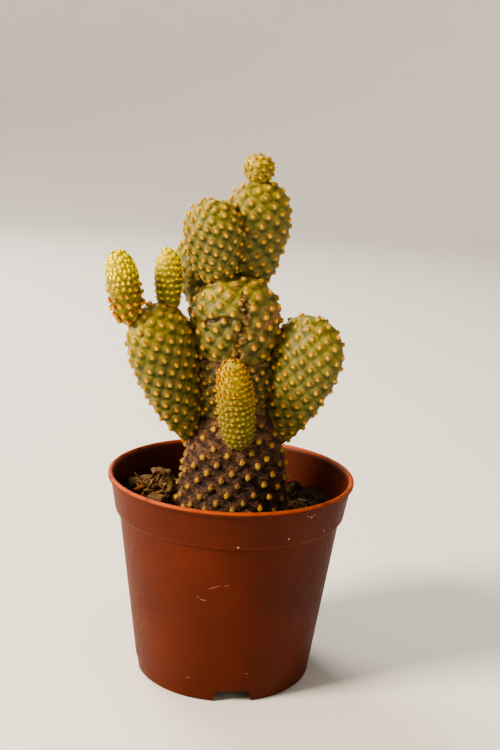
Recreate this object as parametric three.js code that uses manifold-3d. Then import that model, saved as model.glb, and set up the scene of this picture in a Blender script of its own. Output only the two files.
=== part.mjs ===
// A small paddle cactus growing in a terracotta-coloured plastic nursery pot.
// Millimetres, +Z up, origin at the centre of the pot's foot. The plant's front faces -Y.
// Each paddle is an egg-shaped pad, broader towards its tip and flattened front to back. Its
// areoles, the cushions of short bristles, are points raised from its own surface, set along a
// golden-angle spiral as on the living plant. The youngest pads carry pointed scale leaves instead.
import * as THREE from "three";
import { ConvexHull } from "three/addons/math/ConvexHull.js";
import { mergeVertices } from "three/addons/utils/BufferGeometryUtils.js";
import Module from "manifold-3d";

const wasm = await Module();
wasm.setup();

// Driving dimensions of the pot
const RIM_RADIUS = 42.5;
const POT_HEIGHT = 71;
const FOOT_RADIUS = 30.6;
const WALL = 1.2;
const BAND_HEIGHT = 14;
const BAND_STEP = 1.4;
const BAND_FLARE = 1.9;
const LIP_HEIGHT = 1.5;
const LIP_OVERHANG = 0.9;
const LIP_WIDTH = 1.3;
const FOOT_RING = 2;
const EDGE_ROUND = 0.6;
const FLOOR_RAISE = 2.6;
const FLOOR_THICKNESS = 1.2;
const FLOOR_TOP = FLOOR_RAISE + FLOOR_THICKNESS;
const NOTCH_COUNT = 4;
const NOTCH_TOP_WIDTH = 11;
const NOTCH_FOOT_WIDTH = 13;
const NOTCH_HEIGHT = 4.2;
const NOTCH_DEPTH = 5;
const NOTCH_TURN = 8;
const DRAIN_RADIUS = 2.6;
const DRAIN_CIRCLE = 17;
const DRAIN_COUNT = 6;
const POT_SIDES = 48;

// Driving dimensions of the planting
const SOIL_LEVEL = 56;
const CLEARANCE = 0.35;
const GOLDEN_RATIO = (1 + Math.sqrt(5)) / 2;
const HEX_PACKING = Math.sqrt(3) / 2;

const COLOURS = {
  pot: 0x8a3a1c,
  soil: 0x2b1a10,
  bark: 0x7a5a34,
  chip: 0xa8512a,
  trunk: 0x5d4428,
  pad: 0x6c7a35,
  young: 0xa5a83c,
};

// Areoles of the kinds that the plant carries: how far apart, how wide, how far they stand out,
// how many sides they are drawn with, and how far their points lean towards the pad's tip.
const CORKY_TUFT = { spacing: 5.3, radius: 1.05, height: 1.0, sides: 3, lean: 0 };
const WIDE_TUFT = { spacing: 4.7, radius: 1.0, height: 0.95, sides: 3, lean: 0 };
const CLOSE_TUFT = { spacing: 4.1, radius: 0.95, height: 0.9, sides: 3, lean: 0 };
const DENSE_TUFT = { spacing: 3.4, radius: 0.85, height: 0.8, sides: 3, lean: 0 };
const BUD_TUFT = { spacing: 2.6, radius: 0.6, height: 0.6, sides: 3, lean: 0 };
const SCALE_LEAF = { spacing: 2.35, radius: 0.75, height: 0.8, sides: 3, lean: 0.9 };
const LONG_SCALE_LEAF = { spacing: 2.7, radius: 0.8, height: 0.7, sides: 3, lean: 0.7 };

// The pads in growing order. foot and tip are the ends of a pad's axis, width and depth its
// greatest sizes across it, turn how far its broad face looks to the right of the front in
// degrees, egg how much broader it is towards the tip, and fullness how blunt its ends are.
const PADS = [
  { name: "trunk_pad", foot: [0.8, 0.5, 34], tip: [0.8, 0, 95], width: 38.2, depth: 27,
    turn: 0, egg: -0.15, fullness: 2.9, areole: CORKY_TUFT, colour: COLOURS.trunk },
  { name: "neck_pad", foot: [-2, 0, 84], tip: [-2.5, -0.5, 114], width: 21.5, depth: 15.5,
    turn: 0, egg: 0.1, fullness: 2.4, areole: WIDE_TUFT, colour: COLOURS.pad },
  { name: "middle_pad", foot: [-0.8, 0, 105.5], tip: [-1.5, -1.5, 138.6], width: 29.4, depth: 20,
    turn: 0, egg: 0.1, fullness: 2.35, areole: WIDE_TUFT, colour: COLOURS.pad, creased: true },
  { name: "left_pad", foot: [-14.6, -3, 83], tip: [-29.6, -8, 129.3], width: 23.8, depth: 14.5,
    turn: 35, egg: 0.34, fullness: 2.15, areole: CLOSE_TUFT, colour: COLOURS.pad },
  { name: "right_pad", foot: [14.6, 0, 81.5], tip: [27, -2, 126.6], width: 25, depth: 13.5,
    turn: -25, egg: 0.42, fullness: 2.15, areole: CLOSE_TUFT, colour: COLOURS.pad },
  { name: "upper_left_pad", foot: [-7, -0.5, 135.5], tip: [-11.3, -2, 164], width: 18.8,
    depth: 14, turn: -8, egg: 0.12, fullness: 2.15, areole: DENSE_TUFT, colour: COLOURS.pad },
  { name: "upper_right_pad", foot: [4.7, 4, 132], tip: [5, 5, 170.6], width: 21.4,
    depth: 14, turn: 8, egg: 0.42, fullness: 2.1, areole: WIDE_TUFT, colour: COLOURS.pad },
  { name: "back_left_pad", foot: [-9, 4.5, 122], tip: [-17, 10.5, 151.5], width: 17,
    depth: 11, turn: -12, egg: 0.2, fullness: 2.1, areole: CLOSE_TUFT, colour: COLOURS.pad },
  { name: "young_front_pad", foot: [2.4, -9.5, 82.4], tip: [-1.4, -18.4, 114.2], width: 12.5,
    depth: 10.5, turn: 0, egg: -0.04, fullness: 2.25, areole: LONG_SCALE_LEAF, colour: COLOURS.young },
  { name: "young_left_pad", foot: [-23.4, -4, 125], tip: [-24.3, -4, 147.4], width: 9.6,
    depth: 8.4, turn: 10, egg: 0.06, fullness: 2.2, areole: SCALE_LEAF, colour: COLOURS.young },
  { name: "young_outer_pad", foot: [-34.9, -11, 122.6], tip: [-39.9, -13.5, 147], width: 10.9,
    depth: 9, turn: 20, egg: 0.02, fullness: 2.2, areole: SCALE_LEAF, colour: COLOURS.young },
  { name: "crown_bud", foot: [4.3, 4.8, 169.2], tip: [3.9, 4.6, 179], width: 9.4,
    depth: 9, turn: 0, egg: 0.06, fullness: 2.3, areole: BUD_TUFT, colour: COLOURS.young },
];

// The flakes and curls of dry bark on the soil: the arc each one bends through in degrees, its
// bend radius, length and thickness, its place, and its turns about X, then Y, then Z in degrees.
const BARK = [
  { name: "bark_curl_tall", arc: 210, bend: 4.9, length: 5.5, thick: 1.5,
    at: [-25.8, 1.5, 64.4], turns: [86, -8, 14] },
  { name: "bark_flake_flat", arc: 100, bend: 4.2, length: 9, thick: 1.6,
    at: [-31.5, 7, 60.2], turns: [0, -98, 12] },
  { name: "bark_flake_low", arc: 110, bend: 3.4, length: 6, thick: 1.5,
    at: [-25, -6.5, 59.0], turns: [0, -94, -20] },
  { name: "bark_chunk_tall", arc: 80, bend: 3.6, length: 8, thick: 2.4,
    at: [-25.5, 10.5, 62], turns: [10, -12, 70] },
  { name: "bark_flake_back", arc: 120, bend: 5, length: 9, thick: 1.2,
    at: [-14, 22, 53.6], turns: [0, -88, 70] },
  { name: "bark_flake_right", arc: 130, bend: 4.4, length: 7, thick: 1.2,
    at: [24, 14, 51.6], turns: [0, -90, 15] },
];
const CHIP = { name: "bark_chip_red", size: [6.4, 2.2, 1.3], at: [-33.2, -1.6, 62.8], turns: [0, -30, 6] };

// A closed geometry as a solid, with its shared corners merged.
function solidOf(geometry) {
  const plain = new THREE.BufferGeometry();
  plain.setAttribute("position", geometry.getAttribute("position"));
  if (geometry.index) plain.setIndex(geometry.index);
  const merged = mergeVertices(plain, 1e-4);
  return new wasm.Manifold(
    new wasm.Mesh({
      numProp: 3,
      vertProperties: merged.attributes.position.array,
      triVerts: new Uint32Array(merged.index.array),
    }),
  );
}

// A solid's faces as a geometry that three.js can draw.
function geometryOf(solid) {
  const mesh = solid.getMesh();
  const corners = new Float32Array(mesh.numVert * 3);
  for (let i = 0; i < mesh.numVert; i++) {
    corners.set(mesh.vertProperties.subarray(i * mesh.numProp, i * mesh.numProp + 3), i * 3);
  }
  const geometry = new THREE.BufferGeometry();
  geometry.setAttribute("position", new THREE.BufferAttribute(corners, 3));
  geometry.setIndex(new THREE.BufferAttribute(mesh.triVerts, 1));
  geometry.computeVertexNormals();
  return geometry;
}

// What is left of a cut solid once the crumbs that the cut leaves loose are dropped.
function largestBody(solid) {
  return solid.decompose().sort((a, b) => b.volume() - a.volume())[0];
}

function meshOf(name, solid, colour, roughness) {
  const material = new THREE.MeshStandardMaterial({ color: colour, roughness, metalness: 0 });
  const mesh = new THREE.Mesh(geometryOf(solid), material);
  mesh.name = name;
  return mesh;
}

// The pad's own axes: along it from foot to tip, out of its broad face, and across its width to
// the left of someone who looks at that face.
function axesOf(pad) {
  const foot = new THREE.Vector3(...pad.foot);
  const along = new THREE.Vector3(...pad.tip).sub(foot);
  const length = along.length();
  along.normalize();
  const turn = THREE.MathUtils.degToRad(pad.turn);
  const face = new THREE.Vector3(Math.sin(turn), -Math.cos(turn), 0);
  face.addScaledVector(along, -face.dot(along)).normalize();
  const across = new THREE.Vector3().crossVectors(face, along);
  return { foot, along, face, across, length };
}

// Half the pad's outline at height c, which runs from -1 at the foot to 1 at the tip, as a share
// of its widest: a superellipse of the pad's fullness, tilted by egg so that it is broader above.
function outline(pad, c) {
  const round = Math.pow(Math.max(0, 1 - Math.pow(Math.abs(c), pad.fullness)), 1 / pad.fullness);
  return (round * (1 + pad.egg * c)) / (1 + (pad.egg * pad.egg) / 2);
}

// How far the old middle pad's skin is drawn in: a deep winding crease down its front, where its
// two lobes meet, and two shallow folds across its left lobe.
function crease(direction) {
  const [across, front, along] = direction.toArray();
  const onFront = THREE.MathUtils.smoothstep(front, 0, 0.5);
  const path = -0.14 - 0.11 * Math.sin(3.4 * along + 0.5);
  const groove = 0.13 * Math.exp(-(((across - path) / 0.14) ** 2));
  const onLeft = THREE.MathUtils.smoothstep(across, -0.05, 0.3);
  const folds = 0.045 * Math.max(0, Math.sin(8.5 * along - 1.2 * across + 2.4)) * onLeft;
  return 1 - onFront * (groove + folds);
}

// The point of a pad's skin in a direction of the unit sphere: x across, y out of the broad face
// and z along the pad. grow makes the pad larger all round, for the seat it leaves in a neighbour.
function skinPoint(pad, axes, direction, grow = 0) {
  const ring = Math.hypot(direction.x, direction.y) || 1;
  const share = outline(pad, direction.z) * (pad.creased ? crease(direction) : 1);
  const halfLength = axes.length / 2;
  const x = (pad.width / 2 + grow) * share * (direction.x / ring);
  const y = (pad.depth / 2 + grow) * share * (direction.y / ring);
  return axes.foot.clone()
    .addScaledVector(axes.along, halfLength + (halfLength + grow) * direction.z)
    .addScaledVector(axes.across, x)
    .addScaledVector(axes.face, y);
}

// Whether a point lies inside the pad grown by a margin.
function isInside(pad, axes, point, margin) {
  const offset = point.clone().sub(axes.foot);
  const halfLength = axes.length / 2;
  const c = (offset.dot(axes.along) - halfLength) / (halfLength + margin);
  if (Math.abs(c) >= 1) return false;
  const share = outline(pad, c);
  const x = offset.dot(axes.across) / (pad.width / 2 + margin) / share;
  const y = offset.dot(axes.face) / (pad.depth / 2 + margin) / share;
  return x * x + y * y < 1;
}

// The value of a rising table at which its running total reaches a share of the whole.
function lookUp(table, share) {
  const goal = share * table[table.length - 1].total;
  const k = table.findIndex((row) => row.total >= goal);
  if (k <= 0) return table[0].at;
  const low = table[k - 1];
  const high = table[k];
  return low.at + ((high.at - low.at) * (goal - low.total)) / (high.total - low.total);
}

// Running totals of skin area from foot to tip, and of the way round the pad's oval.
function skinTables(pad, axes) {
  const steps = 90;
  const byHeight = [{ at: -1, total: 0 }];
  const byAngle = [{ at: 0, total: 0 }];
  const meanRadius = Math.hypot(pad.width, pad.depth) / 2 / Math.SQRT2;
  for (let k = 1; k <= steps; k++) {
    const low = -1 + (2 * (k - 1)) / steps;
    const high = -1 + (2 * k) / steps;
    const rise = axes.length / steps;
    const flare = meanRadius * (outline(pad, high) - outline(pad, low));
    const girth = Math.PI * meanRadius * (outline(pad, high) + outline(pad, low));
    byHeight.push({ at: high, total: byHeight[k - 1].total + girth * Math.hypot(rise, flare) });
    const angle = (2 * Math.PI * (k - 0.5)) / steps;
    const arc = Math.hypot(pad.width * Math.sin(angle), pad.depth * Math.cos(angle));
    byAngle.push({ at: (2 * Math.PI * k) / steps, total: byAngle[k - 1].total + arc });
  }
  return { byHeight, byAngle };
}

// The directions of a pad's areoles: even in area from foot to tip, and each a golden angle
// further round the pad than the last.
function areoleDirections(pad, axes) {
  const { byHeight, byAngle } = skinTables(pad, axes);
  const area = byHeight[byHeight.length - 1].total;
  const count = Math.round(area / (HEX_PACKING * pad.areole.spacing ** 2));
  return Array.from({ length: count }, (_, i) => {
    const c = lookUp(byHeight, (i + 0.5) / count);
    const angle = lookUp(byAngle, (i / GOLDEN_RATIO) % 1);
    const ring = Math.sqrt(1 - c * c);
    return new THREE.Vector3(ring * Math.cos(angle), ring * Math.sin(angle), c);
  });
}

// The corners that one areole adds: a ring of corners on the skin and a raised point in its
// middle. Steps on the unit sphere are sized by how far they move the point on the pad's skin.
function areoleCorners(pad, axes, direction) {
  const { radius, height, sides, lean } = pad.areole;
  const side = Math.abs(direction.z) < 0.9 ? new THREE.Vector3(0, 0, 1) : new THREE.Vector3(1, 0, 0);
  const stepA = new THREE.Vector3().crossVectors(side, direction).normalize();
  const stepB = new THREE.Vector3().crossVectors(direction, stepA);
  const centre = skinPoint(pad, axes, direction);
  const small = 0.01;
  const moved = [stepA, stepB].map((step) => {
    const near = direction.clone().addScaledVector(step, small).normalize();
    return skinPoint(pad, axes, near).sub(centre).divideScalar(small);
  });
  const normal = new THREE.Vector3().crossVectors(moved[0], moved[1]).normalize();
  const corners = Array.from({ length: sides }, (_, k) => {
    const angle = (2 * Math.PI * (k + 0.25)) / sides;
    const near = direction.clone()
      .addScaledVector(stepA, (radius * Math.cos(angle)) / moved[0].length())
      .addScaledVector(stepB, (radius * Math.sin(angle)) / moved[1].length())
      .normalize();
    return { direction: near, point: skinPoint(pad, axes, near) };
  });
  const point = centre.addScaledVector(normal, height).addScaledVector(axes.along, lean);
  return [...corners, { direction, point }];
}

// A closed skin through corners that each have a direction on the unit sphere: the faces are
// those of the directions' convex hull.
function closedSkin(corners) {
  const places = corners.map((corner) => corner.direction.clone());
  const order = new Map(places.map((place, i) => [place, i]));
  const indices = [];
  for (const face of new ConvexHull().setFromPoints(places).faces) {
    let edge = face.edge;
    do {
      indices.push(order.get(edge.head().point));
      edge = edge.next;
    } while (edge !== face.edge);
  }
  const geometry = new THREE.BufferGeometry();
  geometry.setAttribute(
    "position",
    new THREE.Float32BufferAttribute(corners.flatMap((corner) => corner.point.toArray()), 3),
  );
  geometry.setIndex(indices);
  return solidOf(geometry);
}

// A pad with its areoles. They are left out where a neighbour or the soil covers the skin.
function padSolid(pad, axes, covered) {
  const bare = Math.max(pad.areole.height, 1) + CLEARANCE;
  const corners = areoleDirections(pad, axes).flatMap((direction) => {
    const point = skinPoint(pad, axes, direction);
    return covered(point, bare) ? [{ direction, point }] : areoleCorners(pad, axes, direction);
  });
  return closedSkin(corners);
}

// The plain smooth pad, a clearance larger all round, that cuts a neighbour back to its seat.
function seatCutter(pad, axes) {
  const ball = new THREE.SphereGeometry(1, 36, 24);
  const corner = new THREE.Vector3();
  const position = ball.getAttribute("position");
  for (let i = 0; i < position.count; i++) {
    corner.fromBufferAttribute(position, i).set(corner.x, -corner.z, corner.y).normalize();
    const place = skinPoint(pad, axes, corner, CLEARANCE);
    position.setXYZ(i, place.x, place.y, place.z);
  }
  return solidOf(ball);
}

// The plant: each pad is seated on the pads that grew before it, and keeps clear of them.
function plant() {
  const grown = PADS.map((pad) => ({ pad, axes: axesOf(pad) }));
  const isCovered = (self) => (point, margin) =>
    point.z < soilHeight(point.x, point.y) + margin ||
    grown.some((other) => other !== self && isInside(other.pad, other.axes, point, margin));
  return grown.map((self, k) => {
    let solid = padSolid(self.pad, self.axes, isCovered(self));
    for (const elder of grown.slice(0, k)) {
      solid = solid.subtract(seatCutter(elder.pad, elder.axes));
    }
    return meshOf(self.pad.name, largestBody(solid), self.pad.colour, 0.8);
  });
}

// The outside radius of the pot's wall at a height, under the band. The band stands BAND_STEP
// outside the wall at its foot, and widens by BAND_FLARE up to the lip.
function wallRadius(z) {
  const top = RIM_RADIUS - LIP_OVERHANG - BAND_FLARE - BAND_STEP;
  return FOOT_RADIUS + ((top - FOOT_RADIUS) * z) / (POT_HEIGHT - BAND_HEIGHT);
}

// A ring or disc turned about the upright axis from an outline of radius and height.
function turned(points, sides) {
  const profile = points.map(([radius, z]) => new THREE.Vector2(radius, z));
  return solidOf(new THREE.LatheGeometry(profile, sides).rotateX(Math.PI / 2));
}

// The inside of the pot, from its floor's edge up to the lip, a gap in from the wall.
function cavityOutline(gap) {
  const bandFoot = POT_HEIGHT - BAND_HEIGHT;
  const inset = WALL + gap;
  return [
    [wallRadius(FLOOR_TOP) - inset, FLOOR_TOP + gap],
    [wallRadius(bandFoot) - inset, bandFoot - EDGE_ROUND],
    [wallRadius(bandFoot) + BAND_STEP - inset, bandFoot + EDGE_ROUND],
    [RIM_RADIUS - LIP_OVERHANG - inset, POT_HEIGHT - LIP_HEIGHT],
  ];
}

// The pot: a tapered wall with a deeper band under a rolled lip, a floor raised above its foot,
// notches cut through the foot ring, and drain holes through the floor.
function potSolid() {
  const bandFoot = POT_HEIGHT - BAND_HEIGHT;
  const lipFoot = POT_HEIGHT - LIP_HEIGHT;
  let pot = turned(
    [
      [0, FLOOR_RAISE],
      [FOOT_RADIUS - FOOT_RING, FLOOR_RAISE],
      [FOOT_RADIUS - FOOT_RING, 0],
      [FOOT_RADIUS - EDGE_ROUND, 0],
      [wallRadius(EDGE_ROUND), EDGE_ROUND],
      [wallRadius(bandFoot), bandFoot],
      [wallRadius(bandFoot) + BAND_STEP, bandFoot + 2 * EDGE_ROUND],
      [RIM_RADIUS - LIP_OVERHANG, lipFoot - EDGE_ROUND],
      [RIM_RADIUS, lipFoot],
      [RIM_RADIUS, POT_HEIGHT - EDGE_ROUND],
      [RIM_RADIUS - EDGE_ROUND, POT_HEIGHT],
      [RIM_RADIUS - LIP_WIDTH, POT_HEIGHT],
      ...cavityOutline(0).reverse(),
      [0, FLOOR_TOP],
    ],
    POT_SIDES,
  );
  for (let k = 0; k < NOTCH_COUNT; k++) {
    const turn = THREE.MathUtils.degToRad(NOTCH_TURN) + (2 * Math.PI * k) / NOTCH_COUNT;
    pot = pot.subtract(notchCutter(turn));
  }
  const drain = new THREE.CylinderGeometry(DRAIN_RADIUS, DRAIN_RADIUS, 4 * FLOOR_TOP, 12);
  drain.rotateX(Math.PI / 2);
  pot = pot.subtract(solidOf(drain));
  for (let k = 0; k < DRAIN_COUNT; k++) {
    const angle = (2 * Math.PI * (k + 0.5)) / DRAIN_COUNT;
    const place = [DRAIN_CIRCLE * Math.cos(angle), DRAIN_CIRCLE * Math.sin(angle), 0];
    pot = pot.subtract(solidOf(drain.clone().translate(...place)));
  }
  return pot;
}

// The block that cuts one notch: wider at the foot than at its top, and turned about the axis
// from the pot's front.
function notchCutter(turn) {
  const top = NOTCH_TOP_WIDTH / 2;
  const foot = NOTCH_FOOT_WIDTH / 2;
  const below = 1;
  const flare = ((foot - top) * below) / NOTCH_HEIGHT;
  const face = new THREE.Shape([
    new THREE.Vector2(-foot - flare, -below),
    new THREE.Vector2(foot + flare, -below),
    new THREE.Vector2(top, NOTCH_HEIGHT),
    new THREE.Vector2(-top, NOTCH_HEIGHT),
  ]);
  const block = new THREE.ExtrudeGeometry(face, { depth: 2 * NOTCH_DEPTH, bevelEnabled: false });
  block.rotateX(Math.PI / 2).translate(0, -FOOT_RADIUS + NOTCH_DEPTH, 0).rotateZ(turn);
  return solidOf(block);
}

// The height of the soil's crumbly top: a mound on the left of the plant, a hollow on its right,
// and small lumps.
function soilHeight(x, y) {
  const mound = 6 * Math.exp(-((x + 30) ** 2 + (y - 3) ** 2) / 190);
  const hollow = 2.2 * Math.exp(-((x - 24) ** 2 + (y + 4) ** 2) / 160);
  const lumps = 0.5 * Math.sin(0.55 * x + 0.3 * y) * Math.sin(0.6 * y - 0.2 * x + 1);
  const crumbs = 0.35 * Math.sin(1.9 * x + 0.7 * y + 2) * Math.sin(1.7 * y - 0.5 * x);
  return SOIL_LEVEL + mound - hollow + lumps + crumbs;
}

// The soil: a column whose top follows soilHeight on rings of corners, cut to the pot's inside,
// a clearance in from the wall and floor.
function soilSolid() {
  const ringCount = 6;
  const sides = 30;
  const corners = [new THREE.Vector3(0, 0, 0), new THREE.Vector3(0, 0, soilHeight(0, 0))];
  const addRing = (radius, height) => {
    for (let k = 0; k < sides; k++) {
      const angle = (2 * Math.PI * k) / sides;
      const x = radius * Math.cos(angle);
      const y = radius * Math.sin(angle);
      corners.push(new THREE.Vector3(x, y, height(x, y)));
    }
  };
  addRing(RIM_RADIUS, () => 0);
  for (let k = ringCount; k >= 1; k--) addRing((RIM_RADIUS * k) / ringCount, soilHeight);
  const ring = (i) => 2 + i * sides;
  const faces = [];
  for (let k = 0; k < sides; k++) {
    const next = (k + 1) % sides;
    faces.push(0, ring(0) + next, ring(0) + k);
    for (let i = 1; i <= ringCount; i++) {
      const outer = ring(i - 1);
      const inner = ring(i);
      faces.push(outer + k, outer + next, inner + next, outer + k, inner + next, inner + k);
    }
    faces.push(ring(ringCount) + k, ring(ringCount) + next, 1);
  }
  const geometry = new THREE.BufferGeometry().setFromPoints(corners);
  geometry.setIndex(faces);
  const cavity = cavityOutline(CLEARANCE);
  const floor = cavity[0][1];
  const mouth = cavity[cavity.length - 1][1];
  return solidOf(geometry).intersect(turned([[0, floor], ...cavity, [0, mouth]], POT_SIDES));
}

// Turns a geometry about X, then Y, then Z, and moves it to its place.
function placed(geometry, turns, at) {
  const [x, y, z] = turns.map(THREE.MathUtils.degToRad);
  return geometry.rotateX(x).rotateY(y).rotateZ(z).translate(...at);
}

// One curl of bark: an arc-shaped section carried along the curl's length. grow thickens it
// all round, for the bed it leaves in the soil.
function curlSolid(curl, grow = 0) {
  const half = THREE.MathUtils.degToRad(curl.arc) / 2;
  const outer = curl.bend + curl.thick / 2 + grow;
  const inner = curl.bend - curl.thick / 2 - grow;
  const edge = grow / curl.bend;
  const section = new THREE.Shape();
  section.absarc(0, 0, outer, -half - edge, half + edge, false);
  section.absarc(0, 0, inner, half + edge, -half - edge, true);
  const depth = curl.length + 2 * grow;
  const body = new THREE.ExtrudeGeometry(section, { depth, bevelEnabled: false, curveSegments: 7 });
  body.translate(0, 0, -depth / 2);
  return solidOf(placed(body, curl.turns, curl.at));
}

function chipSolid(chip, grow = 0) {
  const [long, wide, thick] = chip.size.map((size) => size + 2 * grow);
  return solidOf(placed(new THREE.BoxGeometry(long, wide, thick, 3, 1, 1), chip.turns, chip.at));
}

const pads = plant();
const trunk = PADS[0];
let soil = soilSolid().subtract(seatCutter(trunk, axesOf(trunk)));
const litter = BARK.map((curl) => {
  soil = soil.subtract(curlSolid(curl, CLEARANCE));
  return meshOf(curl.name, curlSolid(curl), COLOURS.bark, 0.9);
});
soil = soil.subtract(chipSolid(CHIP, CLEARANCE));
litter.push(meshOf(CHIP.name, chipSolid(CHIP), COLOURS.chip, 0.85));

const pottedCactus = new THREE.Group();
pottedCactus.add(meshOf("pot", potSolid(), COLOURS.pot, 0.55));
pottedCactus.add(meshOf("soil", largestBody(soil), COLOURS.soil, 0.95));
pottedCactus.add(...pads, ...litter);

export default pottedCactus;
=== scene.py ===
"""A small paddle cactus with bristle tufts, growing in a terracotta-coloured nursery pot.

Laid out as a Blender 4.5 add-on and run as a script. Shapes are worked out in millimetres in the
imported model's own frame: the origin on the pot's axis at its foot, +Z up, -Y to the front. They
turn into metres when their mesh is made.
"""

import math
from types import SimpleNamespace
from typing import NamedTuple

import bpy
import numpy as np
from bpy.props import FloatProperty, FloatVectorProperty, IntProperty, PointerProperty
from mathutils import Matrix, Vector


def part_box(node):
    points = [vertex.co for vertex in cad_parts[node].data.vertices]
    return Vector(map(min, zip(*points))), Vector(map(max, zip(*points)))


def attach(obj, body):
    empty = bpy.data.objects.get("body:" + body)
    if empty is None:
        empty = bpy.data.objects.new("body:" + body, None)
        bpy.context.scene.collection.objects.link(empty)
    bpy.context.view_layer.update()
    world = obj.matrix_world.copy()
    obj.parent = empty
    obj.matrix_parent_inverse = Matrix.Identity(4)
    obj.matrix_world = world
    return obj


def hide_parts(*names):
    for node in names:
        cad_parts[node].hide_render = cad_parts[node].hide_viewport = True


bl_info = {
    "name": "Potted Paddle Cactus",
    "version": (1, 0, 0),
    "blender": (4, 5, 0),
    "location": "3D View > Sidebar > Cactus",
    "description": "Builds the fine surfaces of a paddle cactus in its pot",
    "category": "Object",
}

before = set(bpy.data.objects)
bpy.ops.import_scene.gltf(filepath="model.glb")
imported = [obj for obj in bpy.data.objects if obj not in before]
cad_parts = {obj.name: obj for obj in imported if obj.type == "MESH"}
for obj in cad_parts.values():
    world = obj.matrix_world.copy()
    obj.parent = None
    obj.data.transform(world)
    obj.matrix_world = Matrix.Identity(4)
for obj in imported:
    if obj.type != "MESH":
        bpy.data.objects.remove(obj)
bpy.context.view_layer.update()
POT_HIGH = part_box("pot")[1]

MM = 0.001
GOLDEN_RATIO = (1 + math.sqrt(5)) / 2
GOLDEN_ANGLE = 2 * math.pi / GOLDEN_RATIO**2
# The area round each of evenly spread points, as a share of their spacing squared
HEX_PACKING = math.sqrt(3) / 2
# The gap that touching pieces keep, and the height of the soil between its mounds and hollows
CLEARANCE = 0.35
SOIL_LEVEL = 56.0


class Areole(NamedTuple):
    """A kind of areole: how far apart they stand, how high what grows on one is, and the radius of
    its tuft where it has one, in millimetres."""

    spacing: float
    height: float
    radius: float = 0.0


CORKY_TUFT = Areole(5.3, 1.05, 1.3)
WIDE_TUFT = Areole(4.7, 1.05, 1.15)
CLOSE_TUFT = Areole(4.1, 0.9, 0.95)
DENSE_TUFT = Areole(3.4, 0.8, 0.85)
BUD_TUFT = Areole(2.5, 0.65, 0.75)
SCALE_LEAF = Areole(1.75, 0.8)
LONG_SCALE_LEAF = Areole(1.7, 0.7)


class Pad(NamedTuple):
    """One pad of the plant.

    foot and tip are the ends of its axis, width and depth its greatest sizes across it, turn how
    far its broad face looks to the right of the front in degrees, egg how much broader it is
    towards its tip, fullness how blunt its ends are, and areole what stands on it. cell is the
    size of its mesh's cells, swell how far the skin rises at each areole, lumps how uneven the
    skin is, wrinkle how deep its wrinkles are, and cork, yellow and tip_yellow how brown, how
    yellow, and how much yellower at the tip it is, with 1 for wholly so; the yellower tip is
    partly new growth and partly painted light on the pad's top. creased is for the pad that has
    a crack and folds.
    """

    name: str
    foot: tuple
    tip: tuple
    width: float
    depth: float
    turn: float
    egg: float
    fullness: float
    areole: Areole
    cell: float = 0.36
    swell: float = 0.55
    lumps: float = 0.25
    wrinkle: float = 0.06
    cork: float = 0.0
    yellow: float = 0.0
    tip_yellow: float = 0.25
    creased: bool = False


# The pads in growing order
PADS = (
    Pad("trunk_pad", (0.8, 0.5, 34), (0.8, 0, 95), 38.2, 27, 0, -0.15, 2.9, CORKY_TUFT,
        cell=0.42, swell=0.3, lumps=0.5, wrinkle=0.5, cork=1.0, tip_yellow=0.0),
    Pad("neck_pad", (-1, 0, 84), (-1.3, -0.5, 114), 25, 15.5, 0, 0.1, 3.4, DENSE_TUFT,
        swell=0.4, lumps=1.0, wrinkle=0.4, cork=0.44, tip_yellow=0.0),
    Pad("middle_pad", (-0.8, 0, 105.5), (-1.5, -1.5, 138.6), 29.4, 20, 0, 0.1, 2.35, WIDE_TUFT,
        swell=0.45, lumps=0.6, wrinkle=0.26, cork=0.06, creased=True),
    Pad("left_pad", (-14.6, -3, 83), (-29.6, -8, 129.3), 23.8, 14.5, 35, 0.34, 2.15, CLOSE_TUFT,
        swell=0.34, tip_yellow=0.32),
    Pad("right_pad", (14.6, 0, 81.5), (27, -2, 126.6), 25, 13.5, -25, 0.42, 2.15, CLOSE_TUFT,
        swell=0.28, tip_yellow=0.15),
    Pad("upper_left_pad", (-7.4, -1.2, 135.1), (-11.3, -3, 164), 18.8, 14, -8, 0.22, 2.15,
        DENSE_TUFT, cell=0.33, swell=0.36),
    Pad("upper_right_pad", (3.4, 4, 131.6), (5, 5, 170.6), 21.4, 14, 8, 0.38, 2.2, CLOSE_TUFT,
        cell=0.33, swell=0.32),
    Pad("back_left_pad", (-9, 4.5, 122), (-17, 10.5, 151.5), 17, 11, -12, 0.2, 2.1, CLOSE_TUFT,
        swell=0.34, tip_yellow=0.3),
    Pad("young_front_pad", (2.4, -9.5, 82.4), (-1.4, -18.4, 113.8), 11.5, 9.8, 0, -0.09, 2.6,
        LONG_SCALE_LEAF, cell=0.26, swell=0.25, lumps=0.1, cork=0.3, yellow=0.35, tip_yellow=0.9),
    Pad("young_left_pad", (-23.4, -4, 125), (-24.3, -4, 147.4), 8.9, 7.9, 10, 0.1, 2.4,
        SCALE_LEAF, cell=0.24, swell=0.2, lumps=0.08, yellow=0.2, tip_yellow=0.9),
    Pad("young_outer_pad", (-34.9, -11, 122.6), (-39.9, -13.5, 147), 10.5, 8.8, 20, 0.08, 2.3,
        SCALE_LEAF, cell=0.24, swell=0.2, lumps=0.08, yellow=0.3, tip_yellow=1.2),
    Pad("crown_bud", (4.3, 4.8, 169.2), (3.9, 4.6, 179), 9.4, 9, 0, 0.06, 2.3, BUD_TUFT,
        cell=0.24, swell=0.22, lumps=0.1, yellow=0.25, tip_yellow=0.55),
)
TRUNK = PADS[0]


class Mark(NamedTuple):
    """A mark on the pot's outside: how far round from the front and how high its middle is, how
    much it slopes up to the right, its half length and half width, and its colour's name."""

    around: float
    height: float
    slope: float
    half_length: float
    half_width: float
    colour: str


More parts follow.
